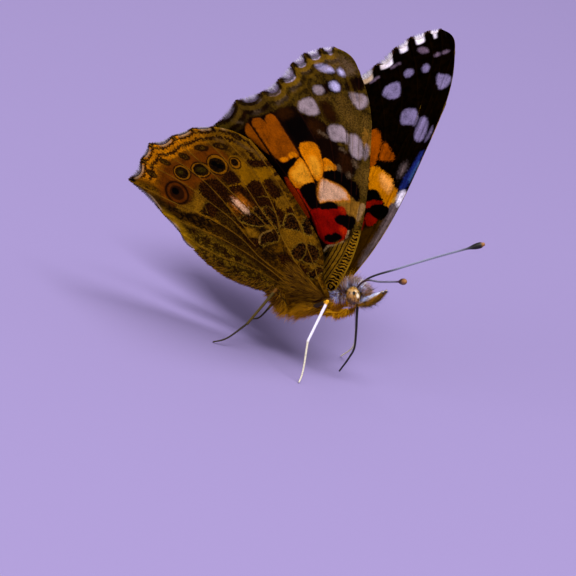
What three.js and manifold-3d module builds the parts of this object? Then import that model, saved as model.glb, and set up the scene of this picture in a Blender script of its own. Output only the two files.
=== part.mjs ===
// Painted lady butterfly at life size, standing with its wings raised in a V.
// Millimetres. +X points to the head, +Y to the butterfly's left and +Z up.

import * as THREE from 'three';
import { mergeVertices } from 'three/addons/utils/BufferGeometryUtils.js';
import Module from 'manifold-3d';

const wasm = await Module();
wasm.setup();

const radians = THREE.MathUtils.degToRad;
const mix = THREE.MathUtils.lerp;
const ramp = THREE.MathUtils.smoothstep;

// Driving sizes of the body. Its frame starts midway between the forewing roots.
// Paths are listed for the left side and mirrored for the right.

const gap = 0.3; // left between neighbouring parts
const leastRadius = 0.25; // of legs, feelers and tongue
const nosePitch = radians(19); // the body is raised at the head by this
const sides = { right: -1, left: 1 };

const thorax = { front: 1.3, back: -7.5, frontHeight: -1.45, backHeight: -1.1, sag: 0.05 };
const chest = { depth: 2.55, halfWidth: 2.2, squareness: 2.4, thinnest: 0.02 };
const abdomen = {
  path: [[-6.8, 0, -0.9], [-10, 0, 0.35], [-13, 0, 1.6], [-16, 0, 2.95], [-18.4, 0, 4.15]],
  radius: 1.45, tipRadius: 0.45, taper: 0.42, segments: 7, foldDepth: 0.05,
};
const head = { at: [2.65, 0, -0.85], size: [1.3, 1.15, 1.3] };
const eye = { at: [2.7, 1.12, -1.0], size: [0.98, 0.64, 1.05] };
const palp = {
  path: [[3.0, 0.62, -1.7], [4.0, 0.66, -1.75], [5.1, 0.6, -1.1], [6.15, 0.48, -0.3]],
  rootRadius: 0.36, radius: 0.4, tipRadius: 0.18,
};
const foreleg = {
  path: [[-0.6, 1.0, -3.3], [0.9, 1.25, -3.6], [2.1, 1.05, -2.95]],
  rootRadius: 0.4,
};
const tongue = {
  path: [[2.75, 0, -1.6], [2.6, 0, -3.4], [2.5, 0, -5.4], [2.25, 0, -7.2], [1.6, 0, -8.3], [0.35, 0, -9.95]],
};
const feeler = {
  right: [[2.4, -0.55, -0.9], [3.0, -0.8, -0.1], [4.3, -1.5, 0.85], [8.0, -4.9, 1.42], [13.5, -9.75, 2.4]],
  left: [[2.6, 0.5, -0.6], [3.3, 0.8, 0.6], [6.5, 3.0, 1.9], [10.1, 6.0, 3.15], [14.25, 8.9, 4.43]],
  clubStarts: 0.84, clubFull: 0.93, clubRadius: 0.42, tipStarts: 0.97, tipRadius: 0.3,
};

// Joints of the legs as X, distance out and Z. A foot's height comes from the floor.

const floor = { height: -10.45, at: -1.0 }; // its height at one X, in the body's own frame
const legs = {
  midleg_right: {
    side: -1, root: [-4.0, 1.5, -3.6], knee: [0.9, 4.0, -1.4], ankle: [-0.5, 6.0, -5.7],
    instep: [-0.9, 6.6, -9.4], foot: [-1.1, 7.0],
  },
  midleg_left: {
    side: 1, root: [-4.0, 1.5, -3.6], knee: [0.4, 4.0, -1.5], ankle: [-0.55, 6.0, -6.0],
    instep: [-1.1, 6.5, -8.0], foot: [-3.3, 7.6],
  },
  hindleg_right: {
    side: -1, root: [-5.4, 1.4, -3.3], knee: [-5.6, 4.0, -0.5], ankle: [-8.3, 5.8, -4.3],
    instep: [-10.7, 6.5, -6.1], foot: [-12.1, 7.0],
  },
  hindleg_left: {
    side: 1, root: [-6.0, 1.3, -3.0], knee: [-8.6, 3.5, -1.5], ankle: [-11.4, 5.0, -4.2],
    instep: [-13.1, 5.8, -5.5], foot: [-14.2, 6.4],
  },
};
const thigh = { root: 0.42, knee: 0.3 };
const shin = { knee: 0.29, ankle: 0.26 };

// Driving sizes of the wings. A wing is drawn flat, by its distance out from
// the hinge line and forward along it. The left pair is opened a little more.

const wingPlate = { half: 0.25, bend: 0.6, bendAt: 27, rows: 10 };
const ridge = {
  halfWidth: 0.28, mostShare: 0.3, under: 0.16, upper: 0.08,
  fadeIn: 2, atMargin: 0.5, rootFlat: 0.04, rootFull: 0.2,
};
const scallopReach = 6; // the higher, the nearer to the margin the scallops stay
const hinge = { noseUp: radians(4.9), halfWidth: 1.49 };
const raise = { right: radians(65), left: radians(62.6) };
const sweep = { right: radians(-12.4), left: radians(-16.4) };
const slide = { right: 0, left: -0.35 }; // how far forward the wings' roots lie
const hindSet = { sweep: radians(13), forward: 0.8, out: -0.42, under: 0.95 };

// Each line runs from the root to the margin. rises tells how far out its vein
// begins to stand proud, and scallop how deep the margin is cut up to the next line.

const forewingLines = [
  { name: 'front edge', scallop: -0.05,
    path: [[-0.6, 0.5], [1, 2.6], [2.5, 4.4], [5, 6.8], [8.6, 9.6], [13.7, 13]] },
  { name: 'radius 1', rises: 0, scallop: -0.3,
    path: [[-0.6, 0.3], [2.6, 3.9], [5.2, 6.2], [8.8, 8.95], [12.8, 11.6], [18, 15.6]] },
  { name: 'radius 3', rises: 10, scallop: -0.7,
    path: [[-0.6, 0.12], [2.7, 3.5], [5.3, 5.75], [8.9, 8.4], [13, 11], [19, 14.6], [24.3, 17.5]] },
  { name: 'radius 4', rises: 0, scallop: 0.5,
    path: [
      [-0.6, -0.05], [2.8, 3.1], [5.4, 5.3], [9.1, 7.9], [13.4, 10.4],
      [20, 14.3], [24.5, 15.95], [27.75, 16.2],
    ] },
  { name: 'radius 5', rises: 12, scallop: 0.7,
    path: [
      [-0.6, -0.2], [2.8, 2.65], [5.5, 4.8], [9.3, 7.4], [13.7, 10],
      [20.5, 13.4], [24.5, 14.8], [28.05, 14.5],
    ] },
  { name: 'median 1', rises: 12, scallop: 0.7,
    path: [
      [-0.6, -0.35], [2.8, 2.2], [5.6, 4.2], [9.6, 6.8], [14, 9.5],
      [17.5, 12], [20.5, 12.4], [23.4, 12.6], [28, 12.3],
    ] },
  { name: 'median 2', rises: 12.5, scallop: 0.9,
    path: [
      [-0.6, -0.5], [2.8, 1.75], [5.5, 3.4], [9.5, 5.8], [14, 8.4],
      [18, 9.9], [22, 10.6], [27.25, 10.2],
    ] },
  { name: 'median 3', rises: 11.8, scallop: 0.9,
    path: [
      [-0.6, -0.65], [2.8, 1.3], [5.4, 2.65], [9, 4.2], [11.5, 5.5],
      [13.3, 6.6], [15.5, 7.6], [19, 8], [25.85, 7.6],
    ] },
  { name: 'cubitus 1', rises: 9.3, scallop: 0.75,
    path: [
      [-0.6, -0.8], [2.8, 0.9], [5.3, 1.95], [8.8, 3.15], [11, 4.3],
      [12.8, 5.1], [16, 5.3], [20, 5], [24.95, 4.8],
    ] },
  { name: 'cubitus 2', rises: 0, scallop: 0.6,
    path: [
      [-0.6, -0.95], [2.8, 0.5], [5.3, 1.5], [8.6, 2.45],
      [13.5, 2.25], [18.5, 1.6], [24.8, 1.1],
    ] },
  { name: 'anal 2', rises: 0, scallop: -0.15,
    path: [[-0.6, -1.4], [3, -0.9], [7, -0.9], [12, -1.3], [17.5, -2], [22.8, -2.7]] },
  { name: 'rear edge',
    path: [[-0.6, -1.9], [3, -2.3], [7, -3], [12, -3.7], [17, -4], [21.7, -3.9]] },
];

const hindwingLines = [
  { name: 'front edge', scallop: -0.05,
    path: [[-0.6, -0.4], [3, 0.75], [6, 0.3], [9.5, -0.45], [13.5, -1.7], [17, -2.95]] },
  { name: 'subcosta', rises: 0, scallop: -0.35,
    path: [
      [-0.6, -0.9], [3, -1.3], [6.6, -1.65], [10, -1.75],
      [12.5, -2.2], [16, -3.1], [20.3, -4.6],
    ] },
  { name: 'radius', rises: 0, scallop: 0.15,
    path: [
      [-0.6, -1.4], [3, -3.1], [6, -4.05], [8.3, -4.4], [10.5, -4.2],
      [14, -4.65], [17, -5.6], [22.1, -8.5],
    ] },
  { name: 'median 1', rises: 7.5, scallop: 0.25,
    path: [
      [-0.6, -1.9], [3, -3.6], [6, -4.5], [8.5, -4.9], [11.5, -6],
      [15.5, -7.35], [19.5, -9.3], [22, -11.3],
    ] },
  { name: 'median 2', rises: 8, scallop: 0.6,
    path: [
      [-0.6, -2.4], [3, -4.1], [6, -5.1], [8.6, -5.5], [10, -6.4],
      [13.3, -8.7], [16.5, -10.8], [21.1, -14.1],
    ] },
  { name: 'median 3', rises: 8, scallop: 0.3,
    path: [
      [-0.6, -2.8], [2.8, -4.9], [5.5, -6.9], [7.5, -8], [9.9, -9.1],
      [13, -10.6], [15.5, -12.2], [18.3, -15], [20.2, -17.4],
    ] },
  { name: 'cubitus 1', rises: 6.5, scallop: 0.75,
    path: [
      [-0.6, -3.2], [2.6, -5.2], [5.2, -7.3], [7.4, -8.6], [9.8, -9.8],
      [12.6, -12.3], [14.9, -14.6], [18.2, -19.1],
    ] },
  { name: 'cubitus 2', rises: 0, scallop: 0.5,
    path: [
      [-0.6, -3.6], [2.4, -5.6], [4.9, -7.9], [7.7, -9.7],
      [10, -12.4], [12.4, -16.6], [15.6, -21.6],
    ] },
  { name: 'anal 2', rises: 0, scallop: 0.2,
    path: [[-0.6, -4], [2.1, -6.1], [4.2, -8], [6, -10], [7.6, -12.2], [9.2, -15.2], [10.9, -18.6]] },
  { name: 'anal 3', rises: 0, scallop: -0.2,
    path: [
      [-0.6, -4.3], [1.5, -6.5], [3.1, -8.6], [4.2, -10.6],
      [5, -12.6], [6.4, -14.9], [8.2, -17.1],
    ] },
  { name: 'rear edge',
    path: [[-0.6, -4.6], [0.5, -7], [1.2, -10], [2.5, -12.8], [4.2, -14.7], [6.3, -16.2]] },
];

// A colour and a roughness for each kind of part.

const finishes = {
  thorax: [0x8a5a2a, 0.9],
  abdomen: [0x7a5630, 0.9],
  head: [0xa58d78, 0.85],
  eye: [0xb59666, 0.35],
  palp: [0xc9b9a4, 0.85],
  proboscis: [0x17110c, 0.4],
  antenna: [0x1c1816, 0.5],
  foreleg: [0x9a6c38, 0.9],
  midleg: [0xd9cfc4, 0.6],
  hindleg: [0x5b4a2a, 0.6],
  forewing: [0xb4602a, 0.8],
  hindwing: [0x7b6438, 0.8],
};

// Solids

function enclosedVolume(places, corners) {
  let sum = 0;
  const [a, b, c] = [new THREE.Vector3(), new THREE.Vector3(), new THREE.Vector3()];
  for (let i = 0; i < corners.length; i += 3) {
    a.fromArray(places, corners[i] * 3);
    b.fromArray(places, corners[i + 1] * 3);
    c.fromArray(places, corners[i + 2] * 3);
    sum += a.dot(b.cross(c));
  }
  return sum;
}

function toSolid(geometry) {
  geometry.deleteAttribute('normal');
  geometry.deleteAttribute('uv');
  const merged = mergeVertices(geometry, 1e-4);
  const corners = Array.from(merged.index.array);
  const kept = [];
  for (let i = 0; i < corners.length; i += 3) {
    const [a, b, c] = corners.slice(i, i + 3);
    if (a !== b && b !== c && c !== a) kept.push(a, b, c);
  }
  const places = merged.attributes.position.array;
  if (enclosedVolume(places, kept) < 0) kept.reverse();
  const mesh = new wasm.Mesh({
    numProp: 3,
    vertProperties: Float32Array.from(places),
    triVerts: Uint32Array.from(kept),
  });
  return new wasm.Manifold(mesh);
}

function without(solid, ...others) {
  let rest = solid;
  for (const other of others) rest = rest.subtract(other);
  const pieces = rest.decompose();
  pieces.sort((one, two) => two.volume() - one.volume());
  return pieces[0];
}

function toGeometry(solid) {
  const mesh = solid.getMesh();
  const geometry = new THREE.BufferGeometry();
  geometry.setAttribute('position', new THREE.BufferAttribute(mesh.vertProperties, 3));
  geometry.setIndex(new THREE.BufferAttribute(mesh.triVerts, 1));
  geometry.computeVertexNormals();
  return geometry;
}

function curve(points, side = 1) {
  return new THREE.CatmullRomCurve3(points.map(([x, y, z]) => new THREE.Vector3(x, side * y, z)));
}

// A round form that follows a path: girth gives its radius for each fraction of
// the length, grow swells it all over, and widen stretches it to the sides.
function limb(path, girth, { rings = 8, around = 10, grow = 0, widen = 1 } = {}) {
  const length = path.getLength();
  const profile = [new THREE.Vector2(0, -grow / length)];
  for (let ring = 0; ring <= rings; ring++) {
    const along = ring / rings;
    const reach = along + ((2 * along - 1) * grow) / length;
    profile.push(new THREE.Vector2(girth(along) + grow, reach));
  }
  profile.push(new THREE.Vector2(0, 1 + grow / length));
  const geometry = new THREE.LatheGeometry(profile, around);
  const position = geometry.attributes.position;
  const up = new THREE.Vector3(0, 0, 1);
  const point = new THREE.Vector3();
  for (let i = 0; i < position.count; i++) {
    point.fromBufferAttribute(position, i);
    const along = THREE.MathUtils.clamp(point.y, 0, 1);
    const ahead = path.getTangentAt(along);
    const across = new THREE.Vector3().crossVectors(up, ahead).normalize();
    const over = new THREE.Vector3().crossVectors(ahead, across);
    const place = path.getPointAt(along).addScaledVector(ahead, (point.y - along) * length);
    place.addScaledVector(across, point.x * widen).addScaledVector(over, point.z);
    position.setXYZ(i, place.x, place.y, place.z);
  }
  return toSolid(geometry);
}

function egg({ at, size }, side, grow = 0) {
  const geometry = new THREE.SphereGeometry(1, 16, 12);
  geometry.scale(size[0] + grow, size[1] + grow, size[2] + grow);
  geometry.translate(at[0], side * at[1], at[2]);
  return toSolid(geometry);
}

// Body

const thoraxPath = curve([
  [thorax.back, 0, thorax.backHeight],
  [(thorax.back + thorax.front) / 2, 0, (thorax.backHeight + thorax.frontHeight) / 2 - thorax.sag],
  [thorax.front, 0, thorax.frontHeight],
]);

function thoraxSolid(grow) {
  const fullness = (t) => 1 - Math.pow(Math.abs(2 * t - 1), chest.squareness);
  const girth = (t) => chest.depth * Math.sqrt(Math.max(fullness(t), chest.thinnest));
  return limb(thoraxPath, girth, { rings: 14, around: 20, grow, widen: chest.halfWidth / chest.depth });
}

function abdomenGirth(t) {
  const slimmed = mix(1, abdomen.taper, Math.pow(t, 2.2));
  const rounded = 1 - Math.pow(t, 9);
  const fold = abdomen.foldDepth * (Math.abs(Math.sin(Math.PI * abdomen.segments * t)) - 0.6);
  return Math.max(abdomen.radius * slimmed * rounded * (1 + fold), abdomen.tipRadius);
}

function palpGirth(t) {
  const swollen = mix(palp.rootRadius, palp.radius, ramp(t, 0, 0.4));
  return mix(swollen, palp.tipRadius, ramp(t, 0.55, 1));
}

function feelerGirth(t) {
  const swollen = mix(leastRadius, feeler.clubRadius, ramp(t, feeler.clubStarts, feeler.clubFull));
  return mix(swollen, feeler.tipRadius, ramp(t, feeler.tipStarts, 1));
}

const bodyGrown = thoraxSolid(gap);
const headGrown = egg(head, 1, gap);
const tongueSolid = limb(curve(tongue.path), () => leastRadius, { rings: 16, around: 8 });
const abdomenSolid = limb(curve(abdomen.path), abdomenGirth, { rings: 3 * abdomen.segments, around: 16 });

const parts = new Map();
parts.set('thorax', thoraxSolid(0));
parts.set('abdomen', without(abdomenSolid, bodyGrown));
parts.set('head', without(egg(head, 1), bodyGrown, egg(eye, 1, gap), egg(eye, -1, gap)));
parts.set('proboscis', without(tongueSolid, headGrown));

for (const [name, side] of Object.entries(sides)) {
  const arm = limb(curve(foreleg.path, side), (t) => mix(foreleg.rootRadius, leastRadius, t));
  const antenna = limb(curve(feeler[name]), feelerGirth, { rings: 24, around: 8 });
  parts.set(`eye_${name}`, egg(eye, side));
  parts.set(`palp_${name}`, without(limb(curve(palp.path, side), palpGirth), headGrown));
  parts.set(`foreleg_${name}`, without(arm, bodyGrown, headGrown));
  parts.set(`antenna_${name}`, without(antenna, headGrown));
}

// Legs

function floorHeight(x) {
  return floor.height - (x - floor.at) * Math.tan(nosePitch);
}

function floorSolid() {
  const block = new THREE.BoxGeometry(200, 200, 40);
  block.translate(0, 0, -20);
  block.rotateY(nosePitch);
  block.translate(floor.at, 0, floor.height);
  return toSolid(block);
}

const ground = floorSolid();

for (const [name, leg] of Object.entries(legs)) {
  const toe = [...leg.foot, floorHeight(leg.foot[0]) - leastRadius];
  const thighPath = curve([leg.root, leg.knee], leg.side);
  const shinPath = curve([leg.knee, leg.ankle], leg.side);
  const toePath = curve([leg.ankle, leg.instep, toe], leg.side);
  const femur = (grow) => limb(thighPath, (t) => mix(thigh.root, thigh.knee, t), { rings: 3, grow });
  const tibia = (grow) => limb(shinPath, (t) => mix(shin.knee, shin.ankle, t), { rings: 3, grow });
  const tarsus = limb(toePath, () => leastRadius, { rings: 8, around: 8 });
  parts.set(`${name}_femur`, without(femur(0), bodyGrown));
  parts.set(`${name}_tibia`, without(tibia(0), femur(gap)));
  parts.set(`${name}_tarsus`, without(tarsus, tibia(gap), ground));
}

// Wings

function wingPlacer(name, isHind) {
  const side = sides[name];
  const turn = sweep[name] + (isHind ? hindSet.sweep : 0);
  const forward = new THREE.Vector3(Math.cos(hinge.noseUp), 0, Math.sin(hinge.noseUp));
  const upright = new THREE.Vector3(-Math.sin(hinge.noseUp), 0, Math.cos(hinge.noseUp));
  const outward = new THREE.Vector3(0, side * Math.cos(raise[name]), 0);
  outward.addScaledVector(upright, Math.sin(raise[name]));
  const upper = new THREE.Vector3().crossVectors(forward, outward).multiplyScalar(side);
  const root = new THREE.Vector3(0, side * hinge.halfWidth, 0).addScaledVector(forward, slide[name]);
  if (isHind) {
    root.addScaledVector(forward, hindSet.forward).addScaledVector(outward, hindSet.out);
    root.addScaledVector(upper, -hindSet.under);
  }
  return ([out, ahead], lift) => {
    const span = out * Math.cos(turn) - ahead * Math.sin(turn);
    const fore = out * Math.sin(turn) + ahead * Math.cos(turn);
    const droop = wingPlate.bend * Math.pow(span / wingPlate.bendAt, 2);
    const place = root.clone().addScaledVector(forward, fore).addScaledVector(outward, span);
    return place.addScaledVector(upper, lift - droop);
  };
}

function ridgeHeight(line, out, t) {
  if (line.rises === undefined) return 0;
  const begun = ramp(out, line.rises, line.rises + ridge.fadeIn);
  return begun * mix(1, ridge.atMargin, t) * ramp(t, ridge.rootFlat, ridge.rootFull);
}

// The columns of a wing's grid: each vein has a crest with a foot on both sides.
function wingColumns(lines) {
  const paths = lines.map(({ path }) => curve(path.map(([out, ahead]) => [out, ahead, 0])));
  const between = (index, share) => (t) => {
    const one = paths[index].getPointAt(t);
    const two = paths[index + 1].getPointAt(t);
    const chord = two.clone().sub(one);
    const f = share(chord.length());
    const cut = lines[index].scallop * Math.sin(Math.PI * f) * Math.pow(t, scallopReach);
    const inward = new THREE.Vector3(chord.y, -chord.x, 0).normalize().multiplyScalar(cut);
    const place = one.lerp(two, f).add(inward);
    return { place: [place.x, place.y], crest: 0 };
  };
  const crestOf = (index) => (t) => {
    const place = paths[index].getPointAt(t);
    return { place: [place.x, place.y], crest: ridgeHeight(lines[index], place.x, t) };
  };
  const footShare = (width) => Math.min(ridge.halfWidth / width, ridge.mostShare);
  const columns = [];
  lines.forEach((line, index) => {
    const isVein = line.rises !== undefined;
    if (isVein) columns.push(between(index - 1, (width) => 1 - footShare(width)));
    columns.push(crestOf(index));
    if (isVein) columns.push(between(index, footShare));
    if (index < lines.length - 1) columns.push(between(index, () => 0.5));
  });
  return columns;
}

// The two faces carry the same grid, so every triangle above has its match below.
function wingSolid(lines, name, isHind) {
  const columns = wingColumns(lines);
  const place = wingPlacer(name, isHind);
  const { half, rows } = wingPlate;
  const positions = [];
  const corners = [];
  const faceSize = (rows + 1) * columns.length;
  for (const [face, rise] of [[1, ridge.upper], [-1, ridge.under]]) {
    for (let row = 0; row <= rows; row++) {
      for (const column of columns) {
        const node = column(row / rows);
        positions.push(...place(node.place, face * (half + rise * node.crest)).toArray());
      }
    }
  }
  const node = (row, column, face) => row * columns.length + column + face * faceSize;
  const quad = (a, b, c, d) => corners.push(a, b, c, a, c, d);
  const last = columns.length - 1;
  for (let row = 0; row < rows; row++) {
    for (let column = 0; column < last; column++) {
      const ring = [[row, column], [row, column + 1], [row + 1, column + 1], [row + 1, column]];
      const [a, b, c, d] = ring.map(([i, j]) => node(i, j, 1));
      quad(...ring.map(([i, j]) => node(i, j, 0)));
      corners.push(a, c, b, a, d, c);
    }
    quad(node(row, 0, 0), node(row + 1, 0, 0), node(row + 1, 0, 1), node(row, 0, 1));
    quad(node(row + 1, last, 0), node(row, last, 0), node(row, last, 1), node(row + 1, last, 1));
  }
  for (let column = 0; column < last; column++) {
    const next = column + 1;
    quad(node(0, next, 0), node(0, column, 0), node(0, column, 1), node(0, next, 1));
    quad(node(rows, column, 0), node(rows, next, 0), node(rows, next, 1), node(rows, column, 1));
  }
  const geometry = new THREE.BufferGeometry();
  geometry.setAttribute('position', new THREE.Float32BufferAttribute(positions, 3));
  geometry.setIndex(corners);
  return without(toSolid(geometry), bodyGrown);
}

for (const name of Object.keys(sides)) {
  parts.set(`forewing_${name}`, wingSolid(forewingLines, name, false));
  parts.set(`hindwing_${name}`, wingSolid(hindwingLines, name, true));
}

// The body is tipped back onto the level floor and centred over it.

const stance = new THREE.Group();
stance.rotation.y = -nosePitch;
for (const [name, solid] of parts) {
  const [colour, roughness] = finishes[name.split('_')[0]];
  const material = new THREE.MeshStandardMaterial({ color: colour, roughness, metalness: 0 });
  const mesh = new THREE.Mesh(toGeometry(solid), material);
  mesh.name = name;
  stance.add(mesh);
}

const group = new THREE.Group();
group.add(stance);
group.updateMatrixWorld(true);
const bounds = new THREE.Box3().setFromObject(group, true);
const middle = bounds.getCenter(new THREE.Vector3());
group.position.set(-middle.x, -middle.y, -bounds.min.z);
group.updateMatrixWorld(true);

export default group;
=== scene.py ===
# The looks of a painted lady butterfly that stands with its wings raised in a V.
# Shapes are worked out in millimetres in the body's own frame: x to the head, y to
# the butterfly's left, z up, starting midway between the roots of the forewings.

import math

import bmesh
import bpy
import numpy as np
from mathutils import Matrix, Vector


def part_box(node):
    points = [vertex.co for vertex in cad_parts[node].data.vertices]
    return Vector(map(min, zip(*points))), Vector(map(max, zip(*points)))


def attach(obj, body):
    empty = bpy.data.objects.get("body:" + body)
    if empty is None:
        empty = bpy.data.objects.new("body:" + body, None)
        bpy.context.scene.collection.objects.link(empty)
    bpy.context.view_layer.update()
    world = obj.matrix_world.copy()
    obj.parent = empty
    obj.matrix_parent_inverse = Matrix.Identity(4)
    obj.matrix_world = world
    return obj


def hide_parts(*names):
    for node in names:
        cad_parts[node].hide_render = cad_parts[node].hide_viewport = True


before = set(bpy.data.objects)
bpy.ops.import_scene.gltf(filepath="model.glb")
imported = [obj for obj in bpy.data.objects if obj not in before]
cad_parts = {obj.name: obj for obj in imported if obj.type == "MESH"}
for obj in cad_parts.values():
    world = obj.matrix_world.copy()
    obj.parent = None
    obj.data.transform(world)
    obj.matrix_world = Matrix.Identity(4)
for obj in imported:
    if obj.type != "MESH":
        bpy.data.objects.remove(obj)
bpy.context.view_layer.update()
print("frame loaded:", len(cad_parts), "nodes")

millimetre = 0.001
nosePitch = math.radians(19)  # how far the body is raised at the head
eyePlace = {"right": (2.7, -1.12, -1.0), "left": (2.7, 1.12, -1.0)}
sides = {"right": -1, "left": 1}

tilt = Matrix.Rotation(-nosePitch, 4, "Y")
low, high = (Vector(corner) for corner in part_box("eye_right"))
bodyStart = (low + high) / 2 - tilt @ (Vector(eyePlace["right"]) * millimetre)
toWorld = Matrix.Translation(bodyStart) @ tilt @ Matrix.Scale(millimetre, 4)


# Shader wires


class Wire:
    def __init__(self, paint, socket):
        self.paint = paint
        self.socket = socket

    def math(self, operation, *others):
        return self.paint.math(operation, self, *others)

    def __add__(self, other):
        return self.math("ADD", other)

    def __sub__(self, other):
        return self.math("SUBTRACT", other)

    def __rsub__(self, other):
        return self.paint.math("SUBTRACT", other, self)

    def __mul__(self, other):
        return self.math("MULTIPLY", other)

    __radd__ = __add__
    __rmul__ = __mul__

    def smaller(self, other):
        return self.math("MINIMUM", other)

    def larger(self, other):
        return self.math("MAXIMUM", other)

    def rise(self, start, end):  # 0 at start, 1 at end, smooth between
        settings = {"interpolation_type": "SMOOTHSTEP"}
        return self.paint.make("ShaderNodeMapRange", settings, {0: self, 1: start, 2: end})

    def within(self, first, last, soft):  # 1 between first and last
        return self.rise(first - soft, first + soft) * self.rise(last + soft, last - soft)


def tint(code):  # a colour as the eye reads it, made linear
    parts = [int(code[i:i + 2], 16) / 255 for i in (0, 2, 4)]
    return tuple(p / 12.92 if p < 0.04045 else ((p + 0.055) / 1.055) ** 2.4 for p in parts) + (1.0,)


class Paint:
    def __init__(self, name, roughness=0.6, specular=0.3):
        self.material = bpy.data.materials.new(name)
        self.material.use_nodes = True
        self.tree = self.material.node_tree
        self.shader = self.tree.nodes["Principled BSDF"]
        self.shader.inputs["Roughness"].default_value = roughness
        self.shader.inputs["Specular IOR Level"].default_value = specular

    def feed(self, socket, value):
        if isinstance(value, Wire):
            self.tree.links.new(value.socket, socket)
        else:
            socket.default_value = value

    def make(self, kind, settings=None, values=None, out=0):
        node = self.tree.nodes.new(kind)
        for key, value in (settings or {}).items():
            setattr(node, key, value)
        for key, value in (values or {}).items():
            self.feed(node.inputs[key], value)
        return Wire(self, node.outputs[out])

    def math(self, operation, *values):
        return self.make("ShaderNodeMath", {"operation": operation}, dict(enumerate(values)))

    def number(self, name):
        return self.make("ShaderNodeAttribute", {"attribute_name": name}, out="Fac")

    def vector(self, name):
        return self.make("ShaderNodeAttribute", {"attribute_name": name}, out="Vector")

    def axes(self, vector):
        return [self.make("ShaderNodeSeparateXYZ", None, {0: vector}, out) for out in range(3)]

    def mix(self, share, one, two):
        return self.make("ShaderNodeMix", {"data_type": "RGBA"}, {0: share, 6: one, 7: two}, 2)

    def light(self, colour, amount):  # brightens or darkens a colour
        return self.make("ShaderNodeHueSaturation", None, {"Color": colour, "Value": amount})

    def noise(self, place, scale, detail=2.0):
        values = {"Vector": place, "Scale": scale, "Detail": detail}
        return self.make("ShaderNodeTexNoise", None, values, "Fac")

    def cells(self, place, scale, out="Distance"):
        return self.make("ShaderNodeTexVoronoi", None, {"Vector": place, "Scale": scale}, out)

    def point(self, x, y):
        return self.make("ShaderNodeCombineXYZ", None, {0: x, 1: y})

    def bump(self, height, strength, distance):
        values = {"Height": height, "Strength": strength, "Distance": distance}
        return self.make("ShaderNodeBump", None, values)

    def finish(self, **wires):
        for name, value in wires.items():
            self.feed(self.shader.inputs[name.replace("_", " ")], value)
        return self.material


# Shapes

pathSteps = 200  # points along a path that a shape or its hair follows


def smoothPath(points, count):  # a smooth curve through the points, evenly spaced
    knots = np.array(points, float)
    knots = np.vstack([2 * knots[0] - knots[1], knots, 2 * knots[-1] - knots[-2]])
    share = np.linspace(0, 1, 40)[:, None]
    run = []
    for a, b, c, d in zip(knots, knots[1:], knots[2:], knots[3:]):
        ab, bc, cd = (max(np.linalg.norm(q - p) ** 0.5, 1e-4) for p, q in ((a, b), (b, c), (c, d)))
        start = ((b - a) / ab - (c - a) / (ab + bc) + (c - b) / bc) * bc
        end = ((c - b) / bc - (d - b) / (bc + cd) + (d - c) / cd) * bc
        bends = (-3 * b + 3 * c - 2 * start - end, 2 * b - 2 * c + start + end)
        run.append(b + start * share + bends[0] * share**2 + bends[1] * share**3)
    run = np.vstack(run)
    lengths = np.r_[0, np.cumsum(np.linalg.norm(np.diff(run, axis=0), axis=1))]
    steps = np.linspace(0, lengths[-1], count)
    return np.stack([np.interp(steps, lengths, run[:, axis]) for axis in range(run.shape[1])], axis=1)


def unit(vectors):
    return vectors / np.maximum(np.linalg.norm(vectors, axis=-1, keepdims=True), 1e-9)


def rampUp(value, start, end):
    share = np.clip((value - start) / (end - start), 0, 1)
    return share * share * (3 - 2 * share)


def places(mesh):
    found = np.empty(len(mesh.vertices) * 3)
    mesh.vertices.foreach_get("co", found)
    return found.reshape(-1, 3)


def movePlaces(mesh, moved):
    mesh.vertices.foreach_set("co", np.ascontiguousarray(moved, dtype=float).ravel())
    mesh.update()


def addNumbers(mesh, name, numbers):
    found = mesh.attributes.new(name, "FLOAT", "POINT")
    found.data.foreach_set("value", np.asarray(numbers, float).ravel())


def addVectors(mesh, name, vectors):
    found = mesh.attributes.new(name, "FLOAT_VECTOR", "POINT")
    found.data.foreach_set("vector", np.asarray(vectors, float).ravel())


def roundForm(points, girth, rings=24, around=16, widen=1.0):  # a rod along a path, closed at both ends
    build = bmesh.new()
    spots = [(girth(ring / rings), ring / rings) for ring in range(rings + 1)]
    chain = [build.verts.new((radius, 0, along)) for radius, along in [(0, 0)] + spots + [(0, 1)]]
    edges = [build.edges.new(pair) for pair in zip(chain, chain[1:])]
    bmesh.ops.spin(
        build, geom=chain + edges, axis=(0, 0, 1), cent=(0, 0, 0), steps=around, angle=math.tau,
        use_merge=True,
    )
    bmesh.ops.remove_doubles(build, verts=build.verts, dist=1e-6)
    bmesh.ops.recalc_face_normals(build, faces=build.faces)
    line = smoothPath(points, pathSteps)
    ahead = unit(np.gradient(line, axis=0))
    across = unit(np.cross((0, 0, 1), ahead))
    over = np.cross(ahead, across)
    for vert in build.verts:
        row = round(vert.co.z * (pathSteps - 1))
        vert.co = line[row] + across[row] * vert.co.x * widen + over[row] * vert.co.y
    return build


def tapered(start, end):  # a girth that changes evenly along a path
    return lambda t: start + (end - start) * t


def mirrored(path, side):
    return [(x, side * y, z) for x, y, z in path]


def aroundPath(line, share, angle):  # places on a path, its way there, and the way out at each angle
    index = (share * (len(line) - 2)).astype(int)
    way = unit(line[index + 1] - line[index])
    across = unit(np.cross(way, (0, 0, 1)))
    above = np.cross(across, way)
    outward = across * np.cos(angle)[:, None] + above * np.sin(angle)[:, None]
    return line[index], way, outward


def toMesh(name, build):
    mesh = bpy.data.meshes.new(name)
    build.to_mesh(mesh)
    build.free()
    return mesh


def ballMesh(radius, spot, around, rings, stretch=(1, 1, 1)):
    build = bmesh.new()
    bmesh.ops.create_uvsphere(build, u_segments=around, v_segments=rings, radius=radius)
    bmesh.ops.scale(build, vec=stretch, verts=build.verts)
    bmesh.ops.translate(build, vec=spot, verts=build.verts)
    return toMesh("ball", build)


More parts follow.
